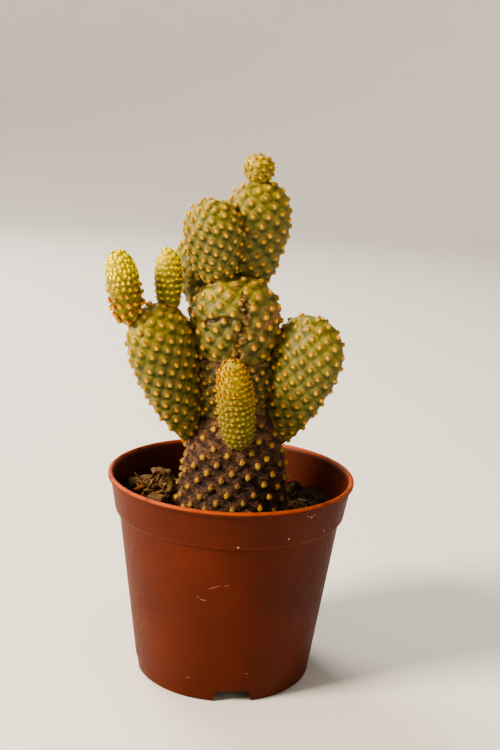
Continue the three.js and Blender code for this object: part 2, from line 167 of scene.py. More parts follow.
POT_MARKS = (
    Mark(-5.1, 43.4, 23, 2.7, 0.10, "scratch"),
    Mark(1.2, 44.3, 4, 1.1, 0.10, "scratch"),
    Mark(-10.6, 38.4, -8, 1.3, 0.13, "scratch"),
    Mark(-13.4, 39.3, -35, 0.6, 0.12, "scratch"),
    Mark(5.5, 58.7, 0, 0.38, 0.38, "fleck"),
    Mark(3.6, 58.9, 0, 0.24, 0.2, "dust"),
    Mark(29.5, 60.7, 10, 0.4, 0.3, "fleck"),
    Mark(52, 60.2, 30, 0.6, 0.35, "scratch"),
    Mark(38.4, 67.7, -10, 0.9, 0.4, "dust"),
    Mark(40.5, 67.1, 20, 0.6, 0.5, "scratch"),
    Mark(42.2, 67.6, 0, 0.7, 0.35, "dust"),
    Mark(-20, 8, 15, 0.8, 0.12, "scratch"),
    Mark(16, 11, -25, 1.0, 0.1, "scratch"),
)
# How far a mark's colour reaches in and out of the wall from its middle, so that it meets it
MARK_HALF_DEPTH = 1.5


class Curl(NamedTuple):
    """A flake of bark: the arc that it bends through in degrees, its bend radius, length and
    thickness, its place, and its turns about X, then Y, then Z in degrees."""

    name: str
    arc: float
    bend: float
    length: float
    thick: float
    at: tuple
    turns: tuple


BARK = (
    Curl("bark_curl_tall", 210, 4.9, 5.5, 1.5, (-25.8, 1.5, 64.4), (86, -8, 14)),
    Curl("bark_flake_flat", 100, 4.2, 9, 1.6, (-31.5, 7, 60.2), (0, -98, 12)),
    Curl("bark_flake_low", 110, 3.4, 6, 1.5, (-25, -6.5, 59.0), (0, -94, -20)),
    Curl("bark_chunk_tall", 80, 3.6, 8, 2.4, (-25.5, 10.5, 62), (10, -12, 70)),
    Curl("bark_flake_back", 120, 5, 9, 1.2, (-14, 22, 53.6), (0, -88, 70)),
    Curl("bark_flake_right", 130, 4.4, 7, 1.2, (24, 14, 51.6), (0, -90, 15)),
)
# The reddish chip of bark: its size, its place, and its turns about X, then Y, then Z in degrees
CHIP_SIZE = (6.4, 2.2, 1.3)
CHIP_PLACE = (-33.2, -1.6, 62.8)
CHIP_TURNS = (0, -30, 6)


class Litter(NamedTuple):
    """Slivers of bark: how many are laid out, their least length, width and thickness, how much
    more each of these may be, and how much they curl."""

    count: int
    least: tuple
    more: tuple
    curl: float


LOOSE_LITTER = Litter(110, (1.5, 0.7, 0.2), (3, 1.2, 0.3), 0.35)
HEAPED_LITTER = Litter(110, (3.5, 0.9, 0.35), (3.5, 1.3, 0.4), 1.1)
# How far over the soil the middles of slivers lie at least
LITTER_LIFT = 0.2
# The heap on the left: the middle of its slivers and how far they spread from it, how far from the
# pot's axis they may lie, its top, and how much further over the soil they may lie there
HEAP_MIDDLE = (-28.5, 2)
HEAP_SPREAD = (4.5, 6.5)
HEAP_REACH = 32
HEAP_TOP = (-28, 2)
HEAP_RISE = 2.5
# The crumbs that lie loose on the soil: how many, their least radius, and how much more it may be
CRUMB_COUNT = 1500
CRUMB_LEAST, CRUMB_MORE = 0.35, 0.95

# The photograph's camera: its aim point, distance and lens in millimetres, and its angles in
# degrees
CAMERA_AIM = (4.66, 0.0, 105.62)
CAMERA_DISTANCE = 378.73
CAMERA_ELEVATION = 12.77
CAMERA_ROLL = 3.03
CAMERA_LENS = 53.42


class Lamp(NamedTuple):
    """A soft square light: its name, its place and width in metres, and its colour."""

    name: str
    place: tuple
    width: float
    tone: tuple


LAMPS = (
    Lamp("key", (-1.16, -0.6, 0.9), 0.46, (1.0, 0.86, 0.66)),
    Lamp("top", (0.0, 0.0, 2.4), 2.4, (1.0, 0.97, 0.93)),
    Lamp("fill", (1.4, -1.0, 0.6), 1.6, (1.0, 0.95, 0.9)),
    Lamp("back", (-0.7, 1.0, 1.1), 0.8, (1.0, 0.93, 0.82)),
)
# Where the lights point, in metres, and the colour of the light all round
LAMP_AIM = (0.0, 0.0, 0.1)
SKY_TONE = (1.0, 0.97, 0.93)
# The stage's flat floor, the curve that it turns up in and the wall above that, in millimetres
FLOOR_RADIUS = 1600
FLOOR_COVE = 700
FLOOR_WALL = 500


def length(name, description, default):
    """A length property, with its default in millimetres."""
    return FloatProperty(
        name=name, description=description, default=default * MM, min=0.0,
        unit="LENGTH", subtype="DISTANCE",
    )


def colour(name, description, default):
    """A colour property, with its default in linear red, green and blue."""
    return FloatVectorProperty(
        name=name, description=description, default=default, size=3, min=0.0, max=1.0,
        subtype="COLOR",
    )


class PotSizes(bpy.types.PropertyGroup):
    """Sizes of the pot."""

    rim_radius: length("Rim radius", "From the axis to the outside of the lip", POT_HIGH.x / MM)
    height: length("Height", "From the foot to the top of the lip", POT_HIGH.z / MM)
    foot_radius: length("Foot radius", "Outside radius at the foot", 30.6)
    wall: length("Wall", "Thickness of the wall", 1.2)
    band_height: length("Band height", "Height of the deeper band under the lip", 14)
    band_step: length("Band step", "How far the band stands out at its foot", 1.4)
    band_flare: length("Band flare", "How much the band widens up to the lip", 1.9)
    lip_height: length("Lip height", "Height of the rolled lip", 1.5)
    lip_overhang: length("Lip overhang", "How far the lip stands out from the band", 0.9)
    lip_width: length("Lip width", "Width of the lip's top", 1.3)
    foot_ring: length("Foot ring", "Width of the ring that the pot stands on", 2)
    floor_raise: length("Floor raise", "Height of the floor's underside", 2.6)
    floor_thickness: length("Floor thickness", "Thickness of the floor", 1.2)
    notch_height: length("Notch height", "Height of the notches through the foot", 4.2)
    notch_top: length("Notch top", "Width of a notch at its top", 11)
    notch_foot: length("Notch foot", "Width of a notch at the foot", 13)
    drain_radius: length("Drain radius", "Radius of the drain holes", 2.6)
    drain_circle: length("Drain circle", "Radius of the circle that the drain holes lie on", 17)


class PlantSizes(bpy.types.PropertyGroup):
    """Sizes of what grows on the pads."""

    bristle_count: IntProperty(
        name="Bristles", description="Bristles in a tuft with a radius of 1 mm or more",
        default=26, min=3, max=40,
    )
    bristle_length: length("Bristle length", "Length in a tuft with a radius of 1 mm", 0.7)
    bristle_width: length("Bristle width", "Thickness of a bristle at its root", 0.25)
    leaf_length: length("Scale leaf length", "Length of a young pad's scale leaves", 1.9)


class FinishColours(bpy.types.PropertyGroup):
    """Colours of the finishes."""

    pot: colour("Pot", "The pot's plastic", (0.088, 0.0125, 0.0025))
    # The lip colour is partly wear and partly a painted highlight on the lip's top.
    lip: colour("Lip", "The worn lip of the pot", (0.34, 0.062, 0.014))
    fleck: colour("Fleck", "Pale flecks on the pot", (0.62, 0.5, 0.36))
    scratch: colour("Scratch", "Scratches in the pot", (0.42, 0.17, 0.09))
    dust: colour("Dust", "Dried soil on the pot", (0.16, 0.09, 0.05))
    soil: colour("Soil", "Damp soil", (0.020, 0.011, 0.006))
    soil_dry: colour("Dry soil", "Dry crumbs of soil", (0.085, 0.05, 0.026))
    bark: colour("Bark", "Dry bark", (0.30, 0.165, 0.06))
    bark_dark: colour("Dark bark", "The bark's furrows", (0.05, 0.025, 0.011))
    chip: colour("Red chip", "The reddish chip of bark", (0.46, 0.12, 0.03))
    # The next two colours are the skin in painted shade, in its hollows, and in painted light, on its
    # swellings.
    skin_hollow: colour("Skin hollows", "Green skin between the tufts", (0.028, 0.042, 0.003))
    skin_crest: colour("Skin crests", "Green skin where it swells", (0.20, 0.160, 0.026))
    skin_bloom: colour("Bloom", "Fine pale bloom on the skin", (0.44, 0.34, 0.13))
    skin_yellow: colour("Yellow skin", "Skin of growing tips", (0.86, 0.67, 0.008))
    # Dark cork is partly the fibre lines' own colour and partly painted shade in hollows and rings;
    # light cork is partly painted light on the crests.
    cork_dark: colour("Dark cork", "Furrows of old skin", (0.022, 0.010, 0.009))
    cork_light: colour("Light cork", "Crests of old skin", (0.19, 0.098, 0.046))
    scar: colour("Scar", "Pale corky skin round joints and scars", (0.36, 0.18, 0.085))
    # Partly dark brown scar tissue in cracks and partly painted shade; the creased pad's fold is painted
    # shade in this colour.
    crack: colour("Crack", "Dark skin in cracks", (0.045, 0.016, 0.008))
    tuft_root: colour("Tuft root", "Felt and bristles at their roots", (0.31, 0.088, 0.004))
    tuft_gold: colour("Tuft gold", "Bristles half way along", (0.80, 0.455, 0.006))
    tuft_tip: colour("Tuft tip", "Ends of the bristles", (0.97, 0.78, 0.07))
    tuft_old_root: colour("Old tuft root", "Brown bristles at their roots", (0.12, 0.035, 0.012))
    tuft_old_tip: colour("Old tuft tip", "Ends of brown bristles", (0.80, 0.52, 0.22))
    # The leaf foot and tip colours are partly the leaves' own and partly painted shade at the foot and
    # painted light at the tip.
    leaf_low: colour("Leaf foot", "Scale leaves at their foot", (0.44, 0.34, 0.005))
    leaf_tip_and_light: colour("Leaf tip", "Scale leaves at their tip", (0.99, 0.80, 0.010))
    leaf_olive: colour("Olive leaf", "Older scale leaves", (0.13, 0.115, 0.014))
    floor: colour("Floor", "The floor that the pot stands on", (0.80, 0.775, 0.745))


class StageLight(bpy.types.PropertyGroup):
    """Powers of the studio's lights."""

    key: FloatProperty(name="Key", description="Power of the main light", default=52.0, unit="POWER")
    top: FloatProperty(name="Top", description="Power of the light above", default=10.0, unit="POWER")
    fill: FloatProperty(name="Fill", description="Power of the soft light", default=4.0, unit="POWER")
    back: FloatProperty(name="Back", description="Power of the light behind", default=22.0, unit="POWER")
    sky: FloatProperty(name="Sky", description="Strength of the light all round", default=0.12, min=0)


def millimetres(settings):
    """The settings' lengths as plain numbers in millimetres, by name."""
    names = type(settings).__annotations__
    return SimpleNamespace(**{name: getattr(settings, name) / MM for name in names})


def smoothstep(value, low, high):
    """0 at low and 1 at high, the same beyond them, and between them 3t^2 - 2t^3 of the share t of
    the way. low may be the larger number."""
    share = np.clip((value - low) / (high - low), 0, 1)
    return share * share * (3 - 2 * share)


def hill(value, width):
    """exp(-(value / width)^2): 1 where the value is 0, and close to 0 two widths away."""
    return np.exp(-((value / width) ** 2))


def running_total(parts):
    """The running total of the parts, from 0."""
    return np.concatenate([[0], np.cumsum(parts)])


def toned(tone, share):
    """A colour made darker, or lighter by a share over 1."""
    return tuple(share * part for part in tone)


def corner_values(cells, seed):
    """A random value from -1 to 1 for each whole-numbered cell: its three numbers times large
    primes, put together and mixed bit by bit."""
    mixed = cells[..., 0] * 73856093 ^ cells[..., 1] * 19349663 ^ cells[..., 2] * 83492791
    mixed = mixed ^ (seed * 40503 + 12345)
    mixed = (mixed ^ (mixed >> 13)) * 1274126177
    return ((mixed ^ (mixed >> 16)) & 0xFFFF) / 32767.5 - 1


def noise(points, size, seed=0, octaves=1):
    """Smooth noise from about -1 to 1: random values at the corners of cubes of a size, blended
    between corners by the smoothstep of each coordinate. Each octave is half the size and half
    the height of the last."""
    total = np.zeros(points.shape[:-1])
    weight = 1.0
    for octave in range(octaves):
        grid = points / size * 2**octave + 17.3 * octave
        cell = np.floor(grid).astype(np.int64)
        part = grid - cell
        part = part * part * (3 - 2 * part)
        for corner in np.ndindex(2, 2, 2):
            share = np.prod(np.where(corner, part, 1 - part), axis=-1)
            total += weight * share * corner_values(cell + corner, seed + octave)
        weight /= 2
    return total


def unit(vectors):
    """The vectors made one long."""
    return vectors / np.maximum(np.linalg.norm(vectors, axis=-1, keepdims=True), 1e-12)


def dot(a, b):
    """The dot products of matching vectors."""
    return (a * b).sum(-1)


class Shape(NamedTuple):
    """A mesh before Blender has it: points in millimetres, arrays of faces with the same number
    of corners, and named values for each point."""

    points: np.ndarray
    faces: list
    values: dict


def join(shapes):
    """Several shapes as one. A value that a shape lacks is 0 there."""
    names = {name for shape in shapes for name in shape.values}
    starts = running_total([len(shape.points) for shape in shapes])
    faces = [face + start for shape, start in zip(shapes, starts) for face in shape.faces]
    values = {
        name: np.concatenate(
            [shape.values.get(name, np.zeros(len(shape.points))) for shape in shapes]
        )
        for name in sorted(names)
    }
    return Shape(np.concatenate([shape.points for shape in shapes]), faces, values)


def repeated(points, faces, values):
    """Many shapes with the same faces: points is copies x corners x 3, values copies x corners."""
    copies, corners, _ = points.shape
    starts = (np.arange(copies) * corners)[:, None, None]
    return Shape(
        points.reshape(-1, 3),
        [(face[None] + starts).reshape(-1, face.shape[1]) for face in faces],
        {name: np.broadcast_to(value, (copies, corners)).ravel() for name, value in values.items()},
    )


def ring_quads(rows, columns):
    """Quads between rows of points that run round a shape, counter-clockwise seen from the last
    row's end."""
    row = np.arange(rows - 1)[:, None] * columns
    here = np.arange(columns)[None, :]
    after = (here + 1) % columns
    quads = np.stack([row + here, row + after, row + columns + after, row + columns + here], -1)
    return quads.reshape(-1, 4)


def closed_faces(rows, columns):
    """Faces of a closed skin: a point at the foot, rows of points round it, and a point at the
    tip. Fans close the ends."""
    quads = ring_quads(rows, columns) + 1
    here = np.arange(columns)
    after = (here + 1) % columns
    foot = np.stack([np.zeros_like(here), after + 1, here + 1], -1)
    last = 1 + (rows - 1) * columns
    tip = np.stack([last + here, last + after, np.full_like(here, last + columns)], -1)
    return [quads, foot, tip]


def mesh_of(name, shape):
    """A Blender mesh of a shape, in metres, smooth, with its values as point attributes."""
    mesh = bpy.data.meshes.new(name)
    corners = np.concatenate([face.ravel() for face in shape.faces]).astype(np.int32)
    sizes = np.concatenate([np.full(len(face), face.shape[1]) for face in shape.faces])
    mesh.vertices.add(len(shape.points))
    mesh.vertices.foreach_set("co", (shape.points * MM).astype(np.float32).ravel())
    mesh.loops.add(len(corners))
    mesh.loops.foreach_set("vertex_index", corners)
    mesh.polygons.add(len(sizes))
    mesh.polygons.foreach_set("loop_start", running_total(sizes)[:-1].astype(np.int32))
    mesh.update(calc_edges=True)
    for key, value in shape.values.items():
        layer = mesh.attributes.new(key, "FLOAT", "POINT")
        layer.data.foreach_set("value", value.astype(np.float32))
    mesh.validate()
    mesh.shade_smooth()
    return mesh


def add_piece(name, mesh, material, nodes=()):
    """Adds a finished piece that rides on the one body and stands for the given CAD nodes."""
    piece = bpy.data.objects.new(name, mesh)
    bpy.context.scene.collection.objects.link(piece)
    piece.data.materials.append(material)
    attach(piece, "root")
    if nodes:
        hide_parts(*nodes)


# The places of a Mix node's share, two colours and resulting colour among its sockets, several of
# which have the same name
MIX_SHARE, MIX_LOW, MIX_HIGH, MIX_RESULT = 0, 6, 7, 2


class Finish:
    """A material being made: its shader, and short ways to add the nodes that drive it."""

    def __init__(self, name, roughness, specular):
        self.material = bpy.data.materials.new(name)
        self.material.use_nodes = True
        self.tree = self.material.node_tree
        self.shader = self.tree.nodes["Principled BSDF"]
        self.shader.inputs["Roughness"].default_value = roughness
        self.shader.inputs["Specular IOR Level"].default_value = specular
        self.place = self.add("ShaderNodeTexCoord").outputs["Object"]
        self.normal = None

    def add(self, kind, **settings):
        """A new node with its settings."""
        node = self.tree.nodes.new(kind)
        for name, value in settings.items():
            setattr(node, name, value)
        return node

    def put(self, value, socket):
        """Sets a socket to a number or a colour, or links another node's output to it."""
        if isinstance(value, bpy.types.NodeSocket):
            self.tree.links.new(value, socket)
        elif isinstance(value, (int, float)):
            socket.default_value = value
        else:
            socket.default_value = (*value, 1.0)

    def attribute(self, name):
        """A value that the mesh's points carry."""
        return self.add("ShaderNodeAttribute", attribute_name=name).outputs["Fac"]

    def stretched(self, stretch, place=None):
        """The place on the piece, with each axis multiplied."""
        node = self.add("ShaderNodeMapping")
        self.put(place or self.place, node.inputs["Vector"])
        node.inputs["Scale"].default_value = stretch
        return node.outputs["Vector"]

    def noise(self, size, detail, place=None, distortion=0.0):
        """Noise whose lumps are about size millimetres across, with finer octaves of detail."""
        node = self.add("ShaderNodeTexNoise")
        self.put(place or self.place, node.inputs["Vector"])
        node.inputs["Scale"].default_value = 1 / (size * MM)
        node.inputs["Detail"].default_value = detail
        node.inputs["Distortion"].default_value = distortion
        return node.outputs["Fac"]

    def cells(self, size):
        """The distance from the middle of irregular cells of a size, in cells."""
        node = self.add("ShaderNodeTexVoronoi")
        self.put(self.place, node.inputs["Vector"])
        node.inputs["Scale"].default_value = 1 / (size * MM)
        return node.outputs["Distance"]

    def between(self, value, low, high):
        """0 where the value is at low and 1 where it is at high, smooth between them."""
        node = self.add("ShaderNodeMapRange", interpolation_type="SMOOTHSTEP")
        self.put(value, node.inputs["Value"])
        node.inputs["From Min"].default_value = low
        node.inputs["From Max"].default_value = high
        return node.outputs["Result"]

    def reckon(self, a, b, **settings):
        """Two values put together by a Math node with the given settings."""
        node = self.add("ShaderNodeMath", **settings)
        self.put(a, node.inputs[0])
        self.put(b, node.inputs[1])
        return node.outputs["Value"]

    def times(self, a, b):
        """The product of two values."""
        return self.reckon(a, b, operation="MULTIPLY")

    def plus(self, a, b):
        """The sum of two values, kept from 0 to 1."""
        return self.reckon(a, b, operation="ADD", use_clamp=True)

    def upright(self, vector):
        """The part of a vector that points straight up."""
        node = self.add("ShaderNodeSeparateXYZ")
        self.put(vector, node.inputs[0])
        return node.outputs["Z"]

    def blend(self, share, low, high):
        """A colour between two, at a share of the way from low to high."""
        node = self.add("ShaderNodeMix", data_type="RGBA")
        self.put(share, node.inputs[MIX_SHARE])
        self.put(low, node.inputs[MIX_LOW])
        self.put(high, node.inputs[MIX_HIGH])
        return node.outputs[MIX_RESULT]

    def spot(self, place, turns, sizes):
        """1 inside a small ellipsoid with a place and half sizes in millimetres and turns in
        degrees, fading out at its edge: it reads how long the way from its middle is, measured
        along its own axes in half sizes."""
        node = self.add("ShaderNodeMapping", vector_type="TEXTURE")
        self.put(self.place, node.inputs["Vector"])
        node.inputs["Location"].default_value = [part * MM for part in place]
        node.inputs["Rotation"].default_value = [math.radians(turn) for turn in turns]
        node.inputs["Scale"].default_value = [size * MM for size in sizes]
        length = self.add("ShaderNodeVectorMath", operation="LENGTH")
        self.put(node.outputs["Vector"], length.inputs[0])
        return self.between(length.outputs["Value"], 1.0, 0.55)

    def colour(self, value):
        """Sets the base colour."""
        self.put(value, self.shader.inputs["Base Color"])

    def roughness(self, share, low, high):
        """Roughness between two values, at a share of the way from low to high."""
        node = self.add("ShaderNodeMapRange")
        self.put(share, node.inputs["Value"])
        node.inputs["To Min"].default_value = low
        node.inputs["To Max"].default_value = high
        self.put(node.outputs["Result"], self.shader.inputs["Roughness"])

    def bump(self, height, depth):
        """Fine relief, depth millimetres from the value 0 to the value 1, over what is there."""
        node = self.add("ShaderNodeBump")
        node.inputs["Strength"].default_value = 1.0
        node.inputs["Distance"].default_value = depth * MM
        self.put(height, node.inputs["Height"])
        if self.normal:
            self.put(self.normal, node.inputs["Normal"])
        self.normal = node.outputs["Normal"]
        self.put(self.normal, self.shader.inputs["Normal"])

    def sheen(self, weight, tint):
        """A soft sheen, as on fine hairs."""
        self.shader.inputs["Sheen Weight"].default_value = weight
        self.shader.inputs["Sheen Roughness"].default_value = 0.5
        self.shader.inputs["Sheen Tint"].default_value = (*tint, 1.0)


def pot_finish(tones, pot):
    """Matte moulded plastic: faint mottling and fine scratches, a brighter lip top that is partly
    wear and partly a painted highlight, a painted highlight line round the band's foot, soil on
    the ledge inside, a few specks of dust, and the marks that the pot has picked up."""
    finish = Finish("terracotta_plastic", 0.5, 0.16)
    up = finish.upright(finish.place)
    dark, light = toned(tones.pot, 0.74), toned(tones.pot, 1.6)
    mottling = finish.between(finish.noise(26, 4), 0.3, 0.75)
    plastic = finish.blend(mottling, dark, tones.pot)
    streaks = finish.noise(1.1, 2, finish.stretched((1, 1, 0.06)))
    faint = finish.times(finish.between(streaks, 0.56, 0.8), 0.3)
    plastic = finish.blend(faint, plastic, light)
    specks = finish.between(finish.noise(0.55, 3), 0.7, 0.76)
    plastic = finish.blend(finish.times(specks, 0.5), plastic, tones.dust)
    bevel = pot.height - pot.band_height + 1.1
    # Painted highlight: a lighter line round the band's rounded foot.
    edge = finish.times(
        finish.between(up, (bevel - 0.35) * MM, (bevel - 0.1) * MM),
        finish.between(up, (bevel + 0.4) * MM, (bevel + 0.1) * MM),
    )
    plastic = finish.blend(finish.times(edge, 0.7), plastic, light)
    # The lip's top is brighter: partly wear, partly a painted highlight.
    worn = finish.between(up, (pot.height - 1.0) * MM, (pot.height - 0.45) * MM)
    wear_and_highlight = finish.times(worn, finish.between(finish.noise(5, 4), 0.15, 0.55))
    plastic = finish.blend(wear_and_highlight, plastic, tones.lip)
    facing_up = finish.upright(finish.add("ShaderNodeNewGeometry").outputs["Normal"])
    ledge = finish.times(
        finish.between(facing_up, 0.2, 0.7),
        finish.between(up, (pot.height - 3) * MM, (pot.height - 5) * MM),
    )
    plastic = finish.blend(finish.times(ledge, 0.9), plastic, tones.soil_dry)
    for mark in POT_MARKS:
        turn = math.radians(mark.around)
        radius = wall_radius(pot, mark.height)
        if mark.height > bevel:
            radius += pot.band_step + 0.4
        place = (radius * math.sin(turn), -radius * math.cos(turn), mark.height)
        half_sizes = (mark.half_length, MARK_HALF_DEPTH, mark.half_width)
        spot = finish.spot(place, (0, -mark.slope, mark.around), half_sizes)
        plastic = finish.blend(spot, plastic, getattr(tones, mark.colour))
    finish.colour(plastic)
    finish.roughness(finish.noise(2.5, 5), 0.4, 0.64)
    finish.bump(finish.noise(0.35, 2), 0.02)
    finish.bump(streaks, 0.03)
    return finish.material


def soil_finish(tones):
    """Crumbly potting mix: dark and damp, with drier crumbs, each crumb and fibre in relief."""
    finish = Finish("potting_mix", 0.95, 0.15)
    crumbs = finish.cells(0.9)
    dry = finish.plus(finish.between(finish.noise(2.2, 5), 0.5, 0.8), finish.attribute("dry"))
    finish.colour(finish.blend(dry, tones.soil, tones.soil_dry))
    finish.bump(crumbs, 0.5)
    finish.bump(finish.noise(0.25, 4), 0.3)
    return finish.material


def bark_finish(name, light, dark):
    """Dry bark: light and dark fibres along each flake's own length, on its UV map."""
    finish = Finish(name, 0.9, 0.2)
    grain = finish.add("ShaderNodeUVMap", uv_map="grain").outputs["UV"]
    fibres = finish.noise(0.5, 4, finish.stretched((1, 0.1, 1), grain), 0.4)
    patches = finish.noise(3.5, 3, grain)
    lightness = finish.times(finish.between(fibres, 0.3, 0.7), patches)
    finish.colour(finish.blend(lightness, dark, light))
    finish.bump(fibres, 0.3)
    return finish.material


def litter_finish(tones):
    """Slivers of dry bark, each with a shade of its own."""
    finish = Finish("bark_slivers", 0.9, 0.2)
    finish.colour(finish.blend(finish.attribute("shade"), tones.bark_dark, tones.bark))
    finish.bump(finish.noise(0.3, 3), 0.15)
    return finish.material


def skin_finish(name, tones):
    """Waxy green skin. The mesh carries, as swell, the skin's painted light and shade, how yellow and
    how corky it is, and where it is scarred or cracked. A fine pale bloom lies on the swellings,
    strongest where they are painted lit."""
    finish = Finish(name, 0.55, 0.28)
    patches = finish.between(finish.noise(2.6, 4), 0.35, 0.7)
    swell = finish.plus(finish.times(finish.attribute("swell"), 0.8), finish.times(patches, 0.25))
    # Painted light and shade: the skin is dark green in its hollows and pale on its swellings, and the
    # yellow skin is likewise darker in its hollows.
    skin = finish.blend(swell, tones.skin_hollow, tones.skin_crest)
    ripe_and_shade = finish.blend(swell, toned(tones.skin_yellow, 0.3), tones.skin_yellow)
    mottling = finish.between(finish.noise(7, 2), -0.2, 0.6)
    skin = finish.blend(finish.times(finish.attribute("yellow"), mottling), skin, ripe_and_shade)
    # The bloom is strongest on the swellings, where it adds to their painted light.
    bloom = finish.times(finish.between(finish.noise(0.4, 3), 0.42, 0.68), swell)
    skin = finish.blend(finish.times(bloom, 0.32), skin, tones.skin_bloom)
    lines = finish.noise(0.8, 5, finish.stretched((1, 1, 2.4)), 0.6)
    # Corky skin is dark along its fibre lines and, as painted shade, in its hollows and rings, which the
    # swell attribute carries.
    cork_tone = finish.times(finish.between(lines, 0.36, 0.68), finish.attribute("swell"))
    cork = finish.blend(cork_tone, tones.cork_dark, tones.cork_light)
    skin = finish.blend(finish.attribute("cork"), skin, cork)
    scarred = finish.times(finish.attribute("scar"), finish.between(lines, 0.25, 0.6))
    skin = finish.blend(scarred, skin, tones.scar)
    skin = finish.blend(finish.attribute("crack"), skin, tones.crack)
    finish.colour(skin)
    finish.roughness(finish.attribute("cork"), 0.48, 0.85)
    finish.sheen(0.06, (1.0, 0.85, 0.6))
    finish.bump(finish.noise(0.3, 3), 0.06)
    rough = finish.plus(finish.attribute("cork"), finish.attribute("scar"))
    finish.bump(finish.times(lines, rough), 0.4)
    return finish.material


def tuft_finish(tones):
    """Tufts: orange-brown felt and roots of bristles, and golden tips. Each tuft has a tint of its
    own, from 0 for golden to 1 for the brown of old bristles."""
    finish = Finish("golden_bristles", 0.38, 0.5)
    along, tint = finish.attribute("along"), finish.attribute("tint")
    tuft = finish.blend(finish.between(along, 0.0, 0.45), tones.tuft_root, tones.tuft_gold)
    tuft = finish.blend(finish.between(along, 0.5, 1.0), tuft, tones.tuft_tip)
    old = finish.blend(finish.between(along, 0.2, 1.0), tones.tuft_old_root, tones.tuft_old_tip)
    finish.colour(finish.blend(tint, tuft, old))
    finish.sheen(0.25, (1.0, 0.8, 0.4))
    finish.bump(finish.noise(0.16, 2), 0.12)
    return finish.material


def leaf_finish(tones):
    """Scale leaves and the golden tufts above them, which the attribute felt tells apart. An older
    leaf is olive at its foot and tan at its tip, a younger one mustard and lemon. The darker foot
    is partly painted shade under the leaves, and the bright tip partly painted light."""
    finish = Finish("scale_leaves", 0.5, 0.3)
    along, yellow = finish.attribute("along"), finish.attribute("yellow")
    low = finish.blend(yellow, tones.leaf_olive, tones.leaf_low)
    high = finish.blend(yellow, toned(tones.skin_bloom, 0.65), tones.leaf_tip_and_light)
    # Along each leaf: darker at its foot and brighter at its tip, partly painted shade and light over
    # the leaf's own colours.
    leaf = finish.blend(finish.between(along, 0.0, 0.42), low, high)
    gold = finish.blend(finish.between(along, 0.0, 0.6), tones.tuft_root, tones.tuft_gold)
    finish.colour(finish.blend(finish.attribute("felt"), leaf, gold))
    finish.bump(finish.noise(0.3, 2), 0.03)
    return finish.material


class Axes(NamedTuple):
    """A pad's foot, its directions along it, across its width and out of its broad face, and half
    its length."""

    foot: np.ndarray
    along: np.ndarray
    across: np.ndarray
    face: np.ndarray
    half: float


def axes_of(pad):
    """The pad's own axes. across points to the left of someone who looks at its face."""
    foot = np.array(pad.foot, float)
    along = np.array(pad.tip, float) - foot
    size = np.linalg.norm(along)
    along = along / size
    turn = math.radians(pad.turn)
    face = np.array([math.sin(turn), -math.cos(turn), 0.0])
    face = unit(face - along * (face @ along))
    return Axes(foot, along, np.cross(face, along), face, size / 2)


def outline(pad, c):
    """Half the pad's width at height c, from -1 at its foot to 1 at its tip, as a share of its
    widest: the superellipse (1 - |c|^fullness)^(1/fullness), times (1 + egg c) / (1 + egg^2 / 2)."""
    blunt = np.maximum(1 - np.abs(c) ** pad.fullness, 0) ** (1 / pad.fullness)
    return blunt * (1 + pad.egg * c) / (1 + pad.egg**2 / 2)


def crease_path(c):
    """How far to the left the creased pad's crack lies at heights c, on the unit sphere that the
    pad is stretched from."""
    return -0.14 - 0.11 * np.sin(3.4 * c + 0.5)


def crease(across, front, along):
    """The share of its width that the creased pad keeps at points of the unit sphere: less in a
    winding groove down its front, and in two shallow folds across its left lobe."""
    groove = 0.13 * hill(across - crease_path(along), 0.14)
    on_left = smoothstep(across, -0.05, 0.3)
    folds = 0.045 * np.maximum(0, np.sin(8.5 * along - 1.2 * across + 2.4)) * on_left
    return 1 - smoothstep(front, 0, 0.5) * (groove + folds)


def skin_at(pad, c, angle):
    """Points of the pad's plain skin, and its outward directions, at heights c and angles round
    the pad. A point is foot + half (1 + c) along + w o cos(angle) across + d o sin(angle) face,
    with w and d half the width and depth and o the outline. The direction is the gradient of
    (x / w)^2 + (y / d)^2 - o(z)^2."""
    axes = axes_of(pad)
    wide, deep = pad.width / 2, pad.depth / 2
    x, y = np.cos(angle), np.sin(angle)
    share = outline(pad, c)
    near, step = np.clip(c, -0.999, 0.999), 1e-4
    slope = (outline(pad, near + step) ** 2 - outline(pad, near - step) ** 2) / (2 * step)
    normals = unit(
        (2 * share * x / wide)[..., None] * axes.across
        + (2 * share * y / deep)[..., None] * axes.face
        - (slope / axes.half)[..., None] * axes.along
    )
    if pad.creased:
        ring = np.sqrt(np.maximum(1 - c * c, 0))
        share = share * crease(ring * x, ring * y, c)
    points = (
        axes.foot
        + (axes.half * (1 + c))[..., None] * axes.along
        + (wide * share * x)[..., None] * axes.across
        + (deep * share * y)[..., None] * axes.face
    )
    return points, normals


def is_inside(pad, points, margin):
    """Whether points lie inside the pad grown by a margin."""
    axes = axes_of(pad)
    offset = points - axes.foot
    c = (offset @ axes.along - axes.half) / (axes.half + margin)
    share = np.maximum(outline(pad, np.clip(c, -1, 1)), 1e-6)
    x = offset @ axes.across / (pad.width / 2 + margin) / share
    y = offset @ axes.face / (pad.depth / 2 + margin) / share
    return (np.abs(c) < 1) & (x * x + y * y < 1)


def crack_offset(pad, points):
    """How far to the left of the crack's path points lie, as a share of the pad's half width."""
    axes = axes_of(pad)
    offset = points - axes.foot
    c = np.clip(offset @ axes.along / axes.half - 1, -0.99, 0.99)
    return offset @ axes.across / (pad.width / 2) / outline(pad, c) - crease_path(c)


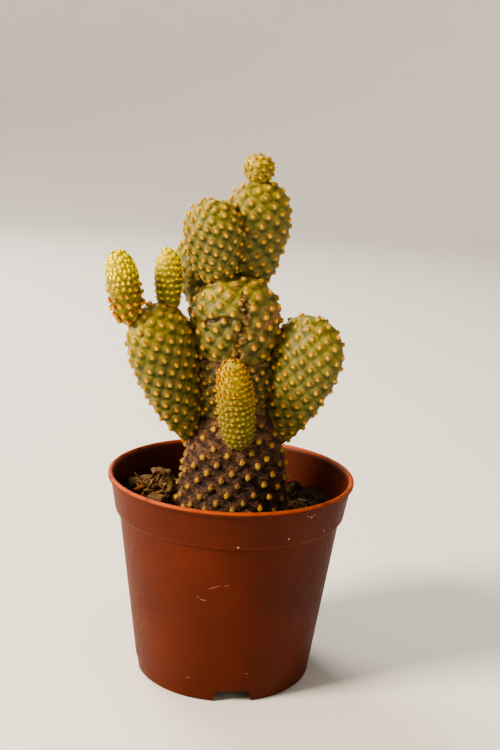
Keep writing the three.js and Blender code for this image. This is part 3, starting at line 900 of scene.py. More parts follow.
def gap_to(pad, points):
    """About how far points are outside a pad's skin, measured towards its axis."""
    axes = axes_of(pad)
    offset = points - axes.foot
    c = (offset @ axes.along - axes.half) / axes.half
    share = np.maximum(outline(pad, np.clip(c, -0.995, 0.995)), 1e-3)
    x, y = offset @ axes.across, offset @ axes.face
    out = np.hypot(x / (pad.width / 2), y / (pad.depth / 2)) / share
    side = (out - 1) * np.hypot(x, y) / np.maximum(out, 1e-3)
    end = (np.abs(c) - 1) * axes.half
    return np.maximum(side, end)


def skin_tables(pad, steps=90):
    """Running totals of skin area from foot to tip, and of the way round the pad's oval."""
    heights = np.linspace(-1, 1, steps + 1)
    shares = outline(pad, heights)
    mean_radius = math.hypot(pad.width, pad.depth) / 2 / math.sqrt(2)
    rise = 2 * axes_of(pad).half / steps
    girth = math.pi * mean_radius * (shares[1:] + shares[:-1])
    areas = girth * np.hypot(rise, mean_radius * np.diff(shares))
    angles = np.linspace(0, 2 * math.pi, steps + 1)
    middle = (angles[1:] + angles[:-1]) / 2
    arcs = np.hypot(pad.width * np.sin(middle), pad.depth * np.cos(middle))
    return heights, running_total(areas), angles, running_total(arcs)


class Areoles(NamedTuple):
    """A pad's areoles: their places, their directions out of the skin, towards the tip and to the
    side, their heights on the pad from -1 to 1, and whether they are in the open."""

    places: np.ndarray
    out: np.ndarray
    up: np.ndarray
    side: np.ndarray
    heights: np.ndarray
    open: np.ndarray


# How far each areole is moved at random, as a share of their spacing
AREOLE_SHIFT = 0.09


def areoles_of(pad):
    """The pad's areoles, even in area from foot to tip, each a golden angle further round, and
    each moved a little at random."""
    heights, areas, angles, arcs = skin_tables(pad)
    spacing = pad.areole.spacing
    count = round(areas[-1] / (HEX_PACKING * spacing**2))
    order = np.arange(count)
    rng = np.random.default_rng(count)
    up, side = AREOLE_SHIFT * spacing * rng.standard_normal((2, count))
    c = np.interp((order + 0.5) / count * areas[-1], areas, heights)
    c = np.clip(c + up / axes_of(pad).half, -0.999, 0.999)
    angle = np.interp(((order / GOLDEN_RATIO) % 1 * arcs[-1] + side) % arcs[-1], arcs, angles)
    return areoles_at(pad, c, angle)


def areoles_at(pad, c, angle):
    """Areoles at heights c and angles round the pad. One that is under the soil or in another pad
    isn't in the open."""
    places, out = skin_at(pad, c, angle)
    along = axes_of(pad).along
    side = unit(np.cross(along, out) + 1e-9)
    up = np.cross(out, side)
    bare = max(pad.areole.height, 1) + CLEARANCE
    hidden = places[:, 2] < soil_height(places[:, 0], places[:, 1]) + bare
    for other in PADS:
        if other is not pad:
            hidden |= is_inside(other, places, bare)
    return Areoles(places, out, up, side, c, ~hidden)


# How far under the level soil the rows of a skin's mesh lie further apart, and how many times
BURIED_DEPTH = 6
BURIED_CELLS = 6


def skin_grid(pad):
    """Heights and angles of the pad's mesh, in cells of even size. Rows that are buried in the
    soil lie further apart."""
    dense = -np.cos(np.linspace(0, math.pi, 1501))
    radius = (pad.width + pad.depth) / 4
    axes = axes_of(pad)
    level = axes.foot[2] + axes.half * (1 + dense) * axes.along[2]
    way = np.hypot(radius * np.diff(outline(pad, dense)), axes.half * np.diff(dense))
    way = way * np.where(level[1:] < SOIL_LEVEL - BURIED_DEPTH, 1 / BURIED_CELLS, 1)
    total = running_total(way)
    rows = round(total[-1] / pad.cell)
    heights = np.interp(np.linspace(0, total[-1], rows + 2)[1:-1], total, dense)
    _, _, angles, arcs = skin_tables(pad)
    columns = round(2 * math.pi * radius / pad.cell)
    return heights, np.interp(np.arange(columns) / columns * arcs[-1], arcs, angles)


# The skin round an areole, as shares of the areoles' spacing: how far above the areole its crest
# lies and how wide that is, how far below it the hollow lies, the hollow's half width and half
# height, and how wide the furrow between two areoles is
CREST_RISE, CREST_WIDTH = 0.14, 0.42
HOLLOW_DROP, HOLLOW_WIDE, HOLLOW_HIGH = 0.42, 0.3, 0.2
FURROW_WIDTH = 0.13


def relief(pad, points, areoles, seed):
    """How far the fine skin stands out from the plain one, and its painted light and shade, from 0
    for painted shade in the hollows to 1 for painted light on the swellings.

    With d the distance from the crest above the nearest areole and w the crest's width, the skin
    swells as exp(-(d / w)^2). It drops into a hollow below the areole, and has a fine furrow
    where two areoles are equally near. Lumps and a fine grain are noise. Wrinkles lie where
    stretched noise n is near 0, as exp(-(n / 0.12)^2), and corky skin has rings of them too.
    """
    spacing = pad.areole.spacing
    squares = (
        (points**2).sum(1)[:, None] + (areoles.places**2).sum(1) - 2 * points @ areoles.places.T
    )
    two = np.argpartition(squares, 1, axis=1)[:, :2]
    pair = np.sqrt(np.maximum(np.take_along_axis(squares, two, 1), 0))
    nearest = np.where(pair[:, 0] <= pair[:, 1], two[:, 0], two[:, 1])
    near, beyond = pair.min(1), pair.max(1)
    offset = points - areoles.places[nearest]
    rise, side = dot(offset, areoles.up[nearest]), dot(offset, areoles.side[nearest])
    crest = near**2 - 2 * CREST_RISE * spacing * rise + (CREST_RISE * spacing) ** 2
    swell = np.exp(-crest / (CREST_WIDTH * spacing) ** 2)
    hollow = np.exp(
        -((side / (HOLLOW_WIDE * spacing)) ** 2)
        - ((rise + HOLLOW_DROP * spacing) / (HOLLOW_HIGH * spacing)) ** 2
    )
    furrow = hill(beyond - near, FURROW_WIDTH * spacing)
    lumps = noise(points, 8.0, seed, 2)
    grain = noise(points, 1.2, seed + 7, 2)
    height = pad.swell * (swell - 0.6 * hollow - 0.2 * furrow) + pad.lumps * lumps + 0.04 * grain
    # The tone is painted light and shade: pale on the swellings, darker in the hollow below each areole
    # where its tuft's shadow falls, and darker in the furrows between areoles.
    tone = 0.22 + 0.8 * swell - 0.6 * hollow - 0.1 * furrow
    wrinkles = hill(noise(points * (0.5, 0.5, 1.3), 3.6, seed + 3, 2), 0.12)
    height = height - pad.wrinkle * (1 - 0.7 * swell) * wrinkles
    # Painted shade: the skin is darker in its wrinkles.
    tone = tone - min(1.6 * pad.wrinkle, 0.7) * wrinkles
    if pad.cork:
        rings = hill(noise(points * (0.3, 0.3, 1.9), 2.6, seed + 5, 3), 0.14)
        height = height - pad.cork * 0.28 * rings + pad.cork * 0.1 * noise(points, 0.9, seed + 6, 2)
        # Painted shade: corky skin is darker in its rings.
        tone = tone + pad.cork * (0.35 - 0.6 * rings)
    return height, np.clip(tone, 0, 1)


def joint_gap(pad, points):
    """How far points are outside the nearest other pad, and 0 inside one."""
    gaps = [np.maximum(gap_to(other, points), 0) for other in PADS if other is not pad]
    return np.minimum.reduce(gaps)


def crease_marks(points, c, angle, patches, seed):
    """How marked the creased pad is at each point, from 0 to 1: by its crack, by the corky lips
    beside it, by the deep fold across its left lobe, and by the large scar on its upper right.

    With u the way across from the crack's uneven path, the crack is exp(-(u / 0.034)^2) and each
    lip exp(-((|u| - 0.075) / 0.04)^2). The fold is such a hill about a wavy height, and the scar
    one about a place."""
    ring = np.sqrt(np.maximum(1 - c * c, 0))
    across, front = ring * np.cos(angle), ring * np.sin(angle)
    off = across - crease_path(c) + 0.09 * noise(points, 5.0, seed + 11, 4)
    on_front = smoothstep(front, 0.1, 0.4) * smoothstep(np.abs(c), 0.97, 0.75)
    broken = np.clip(0.75 + 1.3 * noise(points, 3.2, seed + 13, 2), 0.3, 1) * on_front
    split = hill(off, 0.034) * broken
    lips = hill(np.abs(off) - 0.075, 0.04) * on_front * np.clip(0.5 + 1.4 * patches, 0, 1)
    fold = hill(c - 0.25 - 0.06 * np.sin(7 * across) - 0.03 * patches, 0.045)
    fold = fold * smoothstep(across, -0.02, 0.2) * smoothstep(across, 0.95, 0.6) * on_front
    side = np.exp(-((across + 0.8) ** 2 / 0.06 + (c - 0.28) ** 2 / 0.2))
    rough = side * smoothstep(patches, -0.3, 0.15)
    return split, lips, fold, rough


def skin_shape(pad, areoles, seed):
    """The pad's fine skin, with what its finish reads: swell, which holds its painted light and shade,
    yellow, cork, scar and crack, which also holds painted shade. Pale scars and dark seams lie round
    the joints with other pads."""
    heights, angles = skin_grid(pad)
    rows, columns = len(heights), len(angles)
    c = np.concatenate([[-1], np.repeat(heights, columns), [1]])
    angle = np.concatenate([[0], np.tile(angles, rows), [0]])
    points, normals = skin_at(pad, c, angle)
    height, swell = relief(pad, points, areoles, seed)
    fade = smoothstep(1 - np.abs(c), 0, 0.01)
    # The yellower tip is partly new growth and partly painted light on the pad's top.
    yellow = pad.yellow + pad.tip_yellow * smoothstep(c, 0.1, 0.95)
    joint = joint_gap(pad, points)
    patches = noise(points, 2.4, seed + 9, 3)
    scar = hill(joint, 1.3) * np.clip(0.65 + 0.5 * patches, 0, 1) * 0.7
    crack = hill(joint, 0.35) * 0.8
    cork = np.clip(pad.cork * (1 + 0.5 * patches), 0, 1)
    if pad is TRUNK:
        cork = 1 - 0.35 * smoothstep(c, 0.75, 1)
        scar = np.maximum(scar, 0.6 * smoothstep(c, 0.3, 0.9) * smoothstep(patches, 0, 0.5))
    if pad.creased:
        split, lips, fold, rough = crease_marks(points, c, angle, patches, seed)
        height = height - 0.8 * split + 0.25 * lips - 1.0 * fold
        height = height + 0.25 * rough * noise(points, 1.1, seed + 12, 2)
        # Painted shade: the fold is darkened with a lower tone and the crack's dark colour, and the
        # crack's dark line is partly scar tissue, partly painted shade.
        swell = swell * (1 - 0.9 * fold)
        crack = np.maximum(crack, np.maximum(split, 0.8 * fold))
        scar = np.clip(np.maximum(scar, np.maximum(0.65 * lips, 0.95 * rough)), 0, 1)
    values = {"swell": swell, "yellow": yellow, "cork": cork, "scar": scar, "crack": crack}
    return Shape(points + normals * (height * fade)[:, None], closed_faces(rows, columns), values)


def raised(pad, growing, areoles, seed):
    """The growing ones that are in the open, lifted onto the fine skin that swells at the
    areoles."""
    height, _ = relief(pad, growing.places, areoles, seed)
    lifted = growing.places + growing.out * height[:, None]
    keep = growing.open
    return Areoles(lifted[keep], *[part[keep] for part in growing[1:]])


def along_crack(pad, count, rng):
    """Areoles in a ragged row down the creased pad's crack, from near its foot to near its tip,
    each moved at random along the crack and across it."""
    c = np.linspace(-0.8, 0.78, count) + 0.03 * rng.standard_normal(count)
    ring = np.sqrt(1 - c * c)
    side = crease_path(c) + 0.06 * rng.standard_normal(count)
    return areoles_at(pad, c, np.arccos(side / ring))


def cushions(areoles, radius, height, tint, rng, columns=9):
    """A felt dome on each areole: three rings, each point moved a little in or out, and a top.
    The rings are 1, 0.95 and 0.6 of the radius across, at -0.3, 0.45 and 0.85 of the height, and
    longer up the pad than they are wide. The side towards the pad's tip is browner."""
    count = len(areoles.places)
    angle = 2 * math.pi * np.arange(columns) / columns
    jitter = 1 + 0.13 * rng.standard_normal((count, 3, columns, 1))
    side, up, out = (part[:, None, None, :] for part in (areoles.side, areoles.up, areoles.out))
    around = 0.88 * np.cos(angle)[:, None] * side + 1.2 * np.sin(angle)[:, None] * up
    wide = radius * np.array([1, 0.95, 0.6])[:, None, None] * jitter
    high = height * np.array([-0.3, 0.45, 0.85])[:, None, None] * jitter
    rings = areoles.places[:, None, None, :] + wide * around + high * out
    foot = (areoles.places[:, None, None] - 0.4 * height * out)[:, 0]
    top = (areoles.places[:, None, None] + height * out)[:, 0]
    points = np.concatenate([foot, rings.reshape(count, -1, 3), top], 1)
    golden = 1 - 0.8 * np.maximum(np.sin(angle), 0)
    along = np.concatenate([[0], (np.array([0.1, 0.3, 0.42])[:, None] * golden).ravel(), [0.38]])
    return repeated(points, closed_faces(3, columns), {"along": along, "tint": tint[:, None]})


# How far a tuft's outermost bristles point away from straight out, in radians, and how far its
# bristles lean towards the pad's foot, as a share of their length
BRISTLE_SPREAD = 1.3
BRISTLE_LEAN = 0.45


def bristles(areoles, count, radius, reach, width, tint, rng):
    """Three-sided spikes that fan out of each areole: the i-th of n points i golden angles round
    and a spread of sqrt((i + 1/2) / n) away from straight out, starts half a radius from the
    areole's middle, and leans towards the pad's foot. The more one points towards the pad's tip,
    the browner it is."""
    tufts = len(areoles.places)
    order = np.arange(count)
    round_angle = order * GOLDEN_ANGLE + 2 * math.pi * rng.random((tufts, 1))
    uneven = 1 + 0.12 * rng.standard_normal((tufts, count))
    away = BRISTLE_SPREAD * np.sqrt((order + 0.5) / count) * uneven
    side, up, out = (part[:, None, :] for part in (areoles.side, areoles.up, areoles.out))
    around = 0.88 * np.cos(round_angle)[..., None] * side + np.sin(round_angle)[..., None] * up
    way = np.cos(away)[..., None] * out + np.sin(away)[..., None] * around
    root = areoles.places[:, None, :] + 0.5 * radius * way
    way = unit(way - BRISTLE_LEAN * up)
    size = reach * (0.8 + 0.4 * rng.random((tufts, count)))
    tip = root + way * size[..., None]
    first = unit(np.cross(way, out + 1e-3 * side))
    second = np.cross(way, first)
    turn = 2 * math.pi * np.arange(3) / 3
    base = root[:, :, None, :] + 0.5 * width * (
        np.cos(turn)[:, None] * first[:, :, None, :] + np.sin(turn)[:, None] * second[:, :, None, :]
    )
    points = np.concatenate([base, tip[:, :, None, :]], 2).reshape(tufts * count, 4, 3)
    faces = [np.array([[0, 1, 3], [1, 2, 3], [2, 0, 3], [0, 2, 1]])]
    tints = np.repeat(tint, count)[:, None]
    golden = 1 - 0.75 * np.maximum(np.sin(round_angle) * np.sin(away), 0).reshape(-1, 1)
    return repeated(points, faces, {"along": np.array([0.3, 0.3, 0.3, 1]) * golden, "tint": tints})


class TuftForm(NamedTuple):
    """A tuft's proportions: its cushion's radius and height and the radius that its bristles
    start from, as shares of the areole's, and how long its bristles are beside the plain ones."""

    radius: float
    height: float
    fan: float
    reach: float


FULL_TUFT = TuftForm(radius=0.76, height=0.72, fan=0.95, reach=1.0)
CRACK_TUFT = TuftForm(radius=0.5, height=0.4, fan=0.6, reach=1.1)
CRACK_TUFT_COUNT = 20
# How brown tufts are, from 0 to 1: plain ones, how much more on cork and beside the crack, those
# in the crack, and how much they vary
PLAIN_TINT, CORK_TINT, BESIDE_TINT, CRACK_TINT = 0.08, 0.45, 0.8, 0.8
TINT_SPREAD, CRACK_TINT_SPREAD = 0.22, 0.25


def tufts_on(areoles, form, kind, plant, tint, rng):
    """A felt cushion and a fan of bristles on each of the areoles of a kind."""
    count = round(plant.bristle_count * min(1, kind.radius))
    reach = plant.bristle_length * kind.radius
    return [
        cushions(areoles, form.radius * kind.radius, form.height * kind.height, tint, rng),
        bristles(areoles, count, form.fan * kind.radius, form.reach * reach,
                 plant.bristle_width, tint, rng),
    ]


def tuft_shape(pad, areoles, plant, seed):
    """The pad's tufts, one on each areole, and small brown ones along a crack."""
    rng = np.random.default_rng(seed)
    tint = TINT_SPREAD * rng.standard_normal(len(areoles.places)) + PLAIN_TINT
    tint = tint + CORK_TINT * pad.cork
    if pad.creased:
        tint = tint + BESIDE_TINT * hill(crack_offset(pad, areoles.places), 0.12)
    tint = np.clip(tint, 0, 1)
    shapes = tufts_on(areoles, FULL_TUFT, pad.areole, plant, tint, rng)
    if pad.creased:
        old = raised(pad, along_crack(pad, CRACK_TUFT_COUNT, rng), areoles_of(pad), seed)
        brown = CRACK_TINT + CRACK_TINT_SPREAD * rng.standard_normal(len(old.places))
        brown = np.clip(brown, 0, 1)
        shapes.extend(tufts_on(old, CRACK_TUFT, pad.areole, plant, brown, rng))
    return join(shapes)


class LeafForm(NamedTuple):
    """A kind of scale leaf: how far apart its whorls and the leaves of one whorl stand, its half
    width and thickness, how far its tip leans towards the pad's tip as a share of its length, how
    much closer together the leaves stand at the pad's tip, and, as two values for the pad's foot
    and for its tip, a leaf's size beside the plain one, how yellow it is, and the radius of the
    golden tuft above it."""

    rise: float
    gap: float
    half_width: float
    thick: float
    lean: float
    tighten: float
    size: tuple
    yellow: tuple
    gold: tuple


LEAF_FORMS = {
    "young_front_pad": LeafForm(
        rise=2.1, gap=1.7, half_width=0.75, thick=0.45, lean=0.78, tighten=0.1,
        size=(0.8, 0.65), yellow=(0.1, 0.8), gold=(0, 0.45),
    ),
    "young_left_pad": LeafForm(
        rise=2.25, gap=1.75, half_width=0.85, thick=0.5, lean=0.5, tighten=0.25,
        size=(1.0, 0.75), yellow=(0.8, 1), gold=(0, 0),
    ),
    "young_outer_pad": LeafForm(
        rise=2.6, gap=2.35, half_width=1.1, thick=0.2, lean=1.03, tighten=0.42,
        size=(0.6, 0.7), yellow=(0.5, 1), gold=(0.88, 0),
    ),
}


# How far each whorl is turned beyond the last, as a share of the way round, and how far each leaf
# is moved at random, as a share of the way to the next one
WHORL_TURN = 0.37
LEAF_SHIFT = 0.13


def whorls_of(pad, form):
    """The young pad's areoles: whorls a rise apart along its skin, closer towards its tip. Each is
    turned beyond the last, and every other one by half a gap more. Each areole is moved a little
    at random."""
    rng = np.random.default_rng(31)

    def closer(c):
        return 1 - form.tighten * smoothstep(c, -0.4, 0.6)

    _, _, angles, arcs = skin_tables(pad)
    fine = -np.cos(np.linspace(0, math.pi, 400))
    radius = (pad.width + pad.depth) / 4
    half = axes_of(pad).half
    way = np.hypot(radius * np.diff(outline(pad, fine)), half * np.diff(fine))
    total = running_total(way / closer(fine[1:]))
    count = int(total[-1] / form.rise)
    rows = np.interp((np.arange(count) + 0.35) / count * total[-1], total, fine)
    parts = []
    for k, c in enumerate(rows):
        girth = 2 * math.pi * radius * float(outline(pad, c))
        leaves = max(3, round(girth / (form.gap * float(closer(c)))))
        up, side = rng.standard_normal((2, leaves))
        order = np.arange(leaves) + 0.5 * (k % 2) + LEAF_SHIFT * side
        share = (order / leaves + WHORL_TURN * k) % 1
        level = c + LEAF_SHIFT * form.rise / half * up
        parts.append((np.clip(level, -0.995, 0.995), share))
    c, share = (np.concatenate(part) for part in zip(*parts))
    angle = np.interp(share * arcs[-1], arcs, angles)
    return areoles_at(pad, c, angle)


def between_ends(ends, tipward):
    """Values that run from the first of two ends at the pad's foot to the second at its tip."""
    return ends[0] + (ends[1] - ends[0]) * tipward


# The golden tufts above scale leaves: the least radius that is made, how far one stands up the pad
# from the leaf and out of the skin, and its bristles' number, length and thickness
LEAST_GOLD = 0.2
GOLD_UP, GOLD_OUT = 0.5, 0.25
GOLD_BRISTLES = 12
GOLD_LENGTH, GOLD_WIDTH = 0.5, 0.22


def golden_tufts(areoles, radius, rng):
    """Small tufts above the scale leaves, where their radius isn't too small. Their points carry
    felt, which tells them from the leaves."""
    keep = radius > LEAST_GOLD
    if not keep.any():
        return []
    above = Areoles(*[part[keep] for part in areoles])
    above = above._replace(places=above.places + above.up * GOLD_UP + above.out * GOLD_OUT)
    tint = np.clip(0.2 * rng.standard_normal(keep.sum()), 0, 1)
    radius = radius[keep][:, None, None, None]
    shapes = [
        cushions(above, radius, 1.1 * radius, tint, rng),
        bristles(above, GOLD_BRISTLES, radius[..., 0], GOLD_LENGTH, GOLD_WIDTH, tint, rng),
    ]
    for shape in shapes:
        shape.values["felt"] = np.ones(len(shape.points))
    return shapes


def leaf_shape(areoles, plant, form, seed, columns=7):
    """Scale leaves, some with golden tufts above them. From each areole a tapered tongue's middle
    runs out by (1 - lean t) t - 0.12 and up the pad by lean t of its length, with t from 0 at its
    foot to 1 at its tip, and its half width is (1 - t)^0.6 of the widest."""
    rng = np.random.default_rng(seed)
    count = len(areoles.places)
    share = np.array([0, 0.18, 0.4, 0.62, 0.84])
    tipward = smoothstep(areoles.heights, -0.6, 0.5)
    small = between_ends(form.size, tipward)
    size = plant.leaf_length * small * (1 + 0.08 * rng.standard_normal(count))
    side, up, out = (part[:, None, None, :] for part in (areoles.side, areoles.up, areoles.out))
    place = areoles.places[:, None, None, :]
    t = share[None, :, None, None]
    reach = size[:, None, None, None]

    def middle(t):
        return place + reach * (out * ((1 - form.lean * t) * t - 0.12) + up * form.lean * t)

    angle = 2 * math.pi * np.arange(columns) / columns
    tilted = form.thick * (up * (1 - form.lean) + out * form.lean)
    ring = np.cos(angle)[:, None] * side + np.sin(angle)[:, None] * tilted
    wide = form.half_width * small[:, None, None, None] * (1 - t) ** 0.6
    rows = (middle(t) + wide * ring).reshape(count, -1, 3)
    foot, tip = middle(np.zeros((1, 1, 1, 1)))[:, 0], middle(np.ones((1, 1, 1, 1)))[:, 0]
    points = np.concatenate([foot, rows, tip], 1)
    along = np.concatenate([[0], np.repeat(share, columns), [1]])
    values = {"along": along, "yellow": between_ends(form.yellow, tipward)[:, None]}
    leaves = repeated(points, closed_faces(len(share), columns), values)
    return join([leaves, *golden_tufts(areoles, between_ends(form.gold, tipward), rng)])


def pads_with_seeds(growing):
    """The pads that still grow, or the grown ones, each with the seed of its noise and draws."""
    for order, pad in enumerate(PADS):
        if growing == (pad.name in LEAF_FORMS or pad.areole is BUD_TUFT):
            yield pad, 200 + 20 * order


def make_pad(pad, seed, skin_material, growth_material, plant):
    """Adds a pad's skin in place of its CAD node, and what grows on it."""
    form = LEAF_FORMS.get(pad.name)
    areoles = whorls_of(pad, form) if form else areoles_of(pad)
    name = pad.name.removesuffix("_pad")
    skin = mesh_of(name + "_skin", skin_shape(pad, areoles, seed))
    add_piece(name + "_skin", skin, skin_material, [pad.name])
    standing = raised(pad, areoles, areoles, seed)
    if form:
        scales = mesh_of(name + "_scales", leaf_shape(standing, plant, form, seed))
        add_piece(name + "_scales", scales, growth_material)
    else:
        tufts = mesh_of(name + "_tufts", tuft_shape(pad, standing, plant, seed))
        add_piece(name + "_tufts", tufts, growth_material)


def soil_height(x, y):
    """The soil's top: a mound on the left of the plant and a hollow on its right, which are
    exp(-r^2 / s) of the distance r from their middles, and small lumps, which are products of
    sines."""
    mound = 6 * np.exp(-((x + 30) ** 2 + (y - 3) ** 2) / 190)
    hollow = 2.2 * np.exp(-((x - 24) ** 2 + (y + 4) ** 2) / 160)
    lumps = 0.5 * np.sin(0.55 * x + 0.3 * y) * np.sin(0.6 * y - 0.2 * x + 1)
    crumbs = 0.35 * np.sin(1.9 * x + 0.7 * y + 2) * np.sin(1.7 * y - 0.5 * x)
    return SOIL_LEVEL + mound - hollow + lumps + crumbs


# How much the soil is banked up against the pot's wall
BANK_HEIGHT = 2.3


def soil_top(x, y):
    """The soil's top with its fine crumbs, as noise on the lumps, and its bank at the wall."""
    points = np.stack([x, y, np.zeros_like(x)], -1)
    bank = BANK_HEIGHT * smoothstep(np.hypot(x, y), 29, 36)
    return soil_height(x, y) + bank + 0.7 * noise(points, 3.4, 50, 4)


def wall_radius(pot, z):
    """The outside radius of the pot's wall at a height under the band."""
    top = pot.rim_radius - pot.lip_overhang - pot.band_flare - pot.band_step
    return pot.foot_radius + (top - pot.foot_radius) * z / (pot.height - pot.band_height)


# How far below and above the band's foot the ledge inside the wall begins and ends
HALF_LEDGE = 0.6


def cavity_outline(pot, gap):
    """The inside of the pot from its floor's edge up to the lip, a gap in from the wall."""
    band_foot = pot.height - pot.band_height
    floor_top = pot.floor_raise + pot.floor_thickness
    inset = pot.wall + gap
    return [
        (wall_radius(pot, floor_top) - inset, floor_top + gap),
        (wall_radius(pot, band_foot) - inset, band_foot - HALF_LEDGE),
        (wall_radius(pot, band_foot) + pot.band_step - inset, band_foot + HALF_LEDGE),
        (pot.rim_radius - pot.lip_overhang - inset, pot.height - pot.lip_height),
    ]


def rounded(corners, steps=6):
    """An outline through corners of radius, height and rounding. Each rounded corner is an arc
    that leaves the two sides at the same distance from the corner."""
    places = np.array([corner[:2] for corner in corners], float)
    result = []
    for k, (_, _, rounding) in enumerate(corners):
        if rounding == 0:
            result.append(places[k])
            continue
        before, after = unit(places[k - 1] - places[k]), unit(places[k + 1] - places[k])
        half = math.acos(np.clip(before @ after, -1, 1)) / 2
        centre = places[k] + unit(before + after) * rounding / math.sin(half)
        start = places[k] + before * rounding / math.tan(half) - centre
        end = places[k] + after * rounding / math.tan(half) - centre
        share = np.linspace(0, 1, steps)[:, None]
        sweep = math.pi - 2 * half
        arc = (np.sin((1 - share) * sweep) * start + np.sin(share * sweep) * end) / math.sin(sweep)
        result.extend(centre + arc)
    return np.array(result)


def turned(profile, columns):
    """A closed skin turned about the upright axis from an outline that runs from the axis at the
    bottom, out, up and back to the axis."""
    angle = 2 * math.pi * np.arange(columns) / columns
    radius, height = profile[1:-1, 0], profile[1:-1, 1]
    rows = np.stack([
        radius[:, None] * np.cos(angle),
        radius[:, None] * np.sin(angle),
        np.repeat(height[:, None], columns, 1),
    ], -1).reshape(-1, 3)
    foot, top = [0, 0, profile[0, 1]], [0, 0, profile[-1, 1]]
    return Shape(np.concatenate([[foot], rows, [top]]), closed_faces(len(radius), columns), {})


def pot_shape(pot):
    """The pot before its notches and holes are cut: its outline turned about its axis. The outline
    has a radius, a height and a rounding for each corner."""
    band_foot = pot.height - pot.band_height
    lip_foot = pot.height - pot.lip_height
    floor_top = pot.floor_raise + pot.floor_thickness
    inside = cavity_outline(pot, 0)
    lip_in = pot.rim_radius - pot.lip_width
    corners = [
        (0, pot.floor_raise, 0),
        (pot.foot_radius - pot.foot_ring, pot.floor_raise, 0.5),
        (pot.foot_radius - pot.foot_ring, 0, 0.3),
        (wall_radius(pot, 0), 0, 0.9),
        (wall_radius(pot, band_foot), band_foot, 0.4),
        (wall_radius(pot, band_foot) + pot.band_step, band_foot + 1.2, 0.9),
        (pot.rim_radius - pot.lip_overhang, lip_foot - 0.3, 0.3),
        (pot.rim_radius, lip_foot, 0.35),
        (pot.rim_radius, pot.height, 0.7),
        (lip_in, pot.height, 0.4),
        (*inside[3], 0.5),
        (*inside[2], 0.8),
        (*inside[1], 0.8),
        (*inside[0], 1.2),
        (0, floor_top, 0),
    ]
    return turned(rounded(corners), 256)


# The notches in the foot: how many, how far to the right of the front the first lies in degrees,
# and how far their cutters reach in and out of the wall. Then the drain holes round the middle.
NOTCH_COUNT = 4
NOTCH_TURN = 8
NOTCH_DEPTH = 5
DRAIN_COUNT = 6
# The pot's faces look rounded where they meet at less than this
SHARP_ANGLE = math.radians(38)


def prism(section, start, end):
    """A closed bar with a section of x and z that runs along Y."""
    count = len(section)
    corners = np.array(section, float)
    points = np.concatenate([
        np.stack([corners[:, 0], np.full(count, y), corners[:, 1]], -1) for y in (start, end)
    ])
    here = np.arange(count)
    after = (here + 1) % count
    sides = np.stack([here, here + count, after + count, after], -1)
    return Shape(points, [sides, here[None, :], (here[::-1] + count)[None, :]], {})


def cutters(pot):
    """What is cut from the pot: a block for each notch, wider at the foot, and a rod for each
    drain hole, one in the middle and the others on a circle."""
    half_top, half_foot, below = pot.notch_top / 2, pot.notch_foot / 2, 1
    flare = (half_foot - half_top) * below / pot.notch_height
    wide = half_foot + flare
    section = [(-wide, -below), (wide, -below), (half_top, pot.notch_height),
               (-half_top, pot.notch_height)]
    block = prism(section, -pot.foot_radius - NOTCH_DEPTH, -pot.foot_radius + NOTCH_DEPTH)
    shapes = []
    for k in range(NOTCH_COUNT):
        turn = Matrix.Rotation(math.radians(NOTCH_TURN) + 2 * math.pi * k / NOTCH_COUNT, 3, "Z")
        shapes.append(block._replace(points=block.points @ np.array(turn).T))
    rod_height = 2 * (pot.floor_raise + pot.floor_thickness)
    rod = turned(np.array([(0, -1), (pot.drain_radius, -1), (pot.drain_radius, rod_height),
                           (0, rod_height)]), 40)
    places = [(0.0, 0.0, 0.0)]
    for k in range(DRAIN_COUNT):
        angle = 2 * math.pi * (k + 0.5) / DRAIN_COUNT
        places.append((pot.drain_circle * math.cos(angle), pot.drain_circle * math.sin(angle), 0.0))
    shapes.extend(rod._replace(points=rod.points + np.array(place)) for place in places)
    return join(shapes)


def cut(mesh, cutter):
    """A mesh with a cutter taken out of it by a Boolean modifier, which is applied."""
    body = bpy.data.objects.new("cut_body", mesh)
    tool = bpy.data.objects.new("cut_tool", cutter)
    for helper in (body, tool):
        bpy.context.scene.collection.objects.link(helper)
    modifier = body.modifiers.new("cut", "BOOLEAN")
    modifier.operation = "DIFFERENCE"
    modifier.solver = "EXACT"
    modifier.object = tool
    bpy.context.view_layer.update()
    evaluated = body.evaluated_get(bpy.context.evaluated_depsgraph_get())
    result = bpy.data.meshes.new_from_object(evaluated)
    for helper in (body, tool):
        bpy.data.objects.remove(helper)
    return result


def soil_shape(pot):
    """The soil as one closed body: in over its uneven top from the wall to the middle, down the
    wall a clearance inside the pot, and across the floor."""
    columns, top_rows, side_rows, floor_rows = 260, 80, 14, 6
    outline_points = np.array(cavity_outline(pot, CLEARANCE))
    angle = 2 * math.pi * np.arange(columns) / columns
    x, y = np.cos(angle), np.sin(angle)
    rim = np.interp(SOIL_LEVEL, outline_points[:, 1], outline_points[:, 0])
    edge = soil_top(rim * x, rim * y)
    floor = outline_points[0, 1]
    share = np.linspace(0, 1, side_rows)[:, None]
    side_height = floor + (edge - floor) * share
    side_radius = np.interp(side_height, outline_points[:, 1], outline_points[:, 0])
    floor_radius = outline_points[0, 0] * np.linspace(1 / floor_rows, 1, floor_rows)[:-1, None]
    floor_radius = floor_radius * np.ones(columns)
    top_radius = side_radius[-1] * np.linspace(1, 0, top_rows + 1)[1:-1, None]
    top_height = soil_top(top_radius * x, top_radius * y)
    radius = np.concatenate([floor_radius, side_radius, top_radius])
    height = np.concatenate([np.full_like(floor_radius, floor), side_height, top_height])
    rows = np.stack([radius * x, radius * y, height], -1).reshape(-1, 3)
    middle = [0, 0, float(soil_top(np.zeros(1), np.zeros(1))[0])]
    points = np.concatenate([[[0, 0, floor]], rows, [middle]])
    dry = np.clip(0.4 * noise(points, 5, 61, 3), 0, 1)
    return Shape(points, closed_faces(len(radius), columns), {"dry": dry})


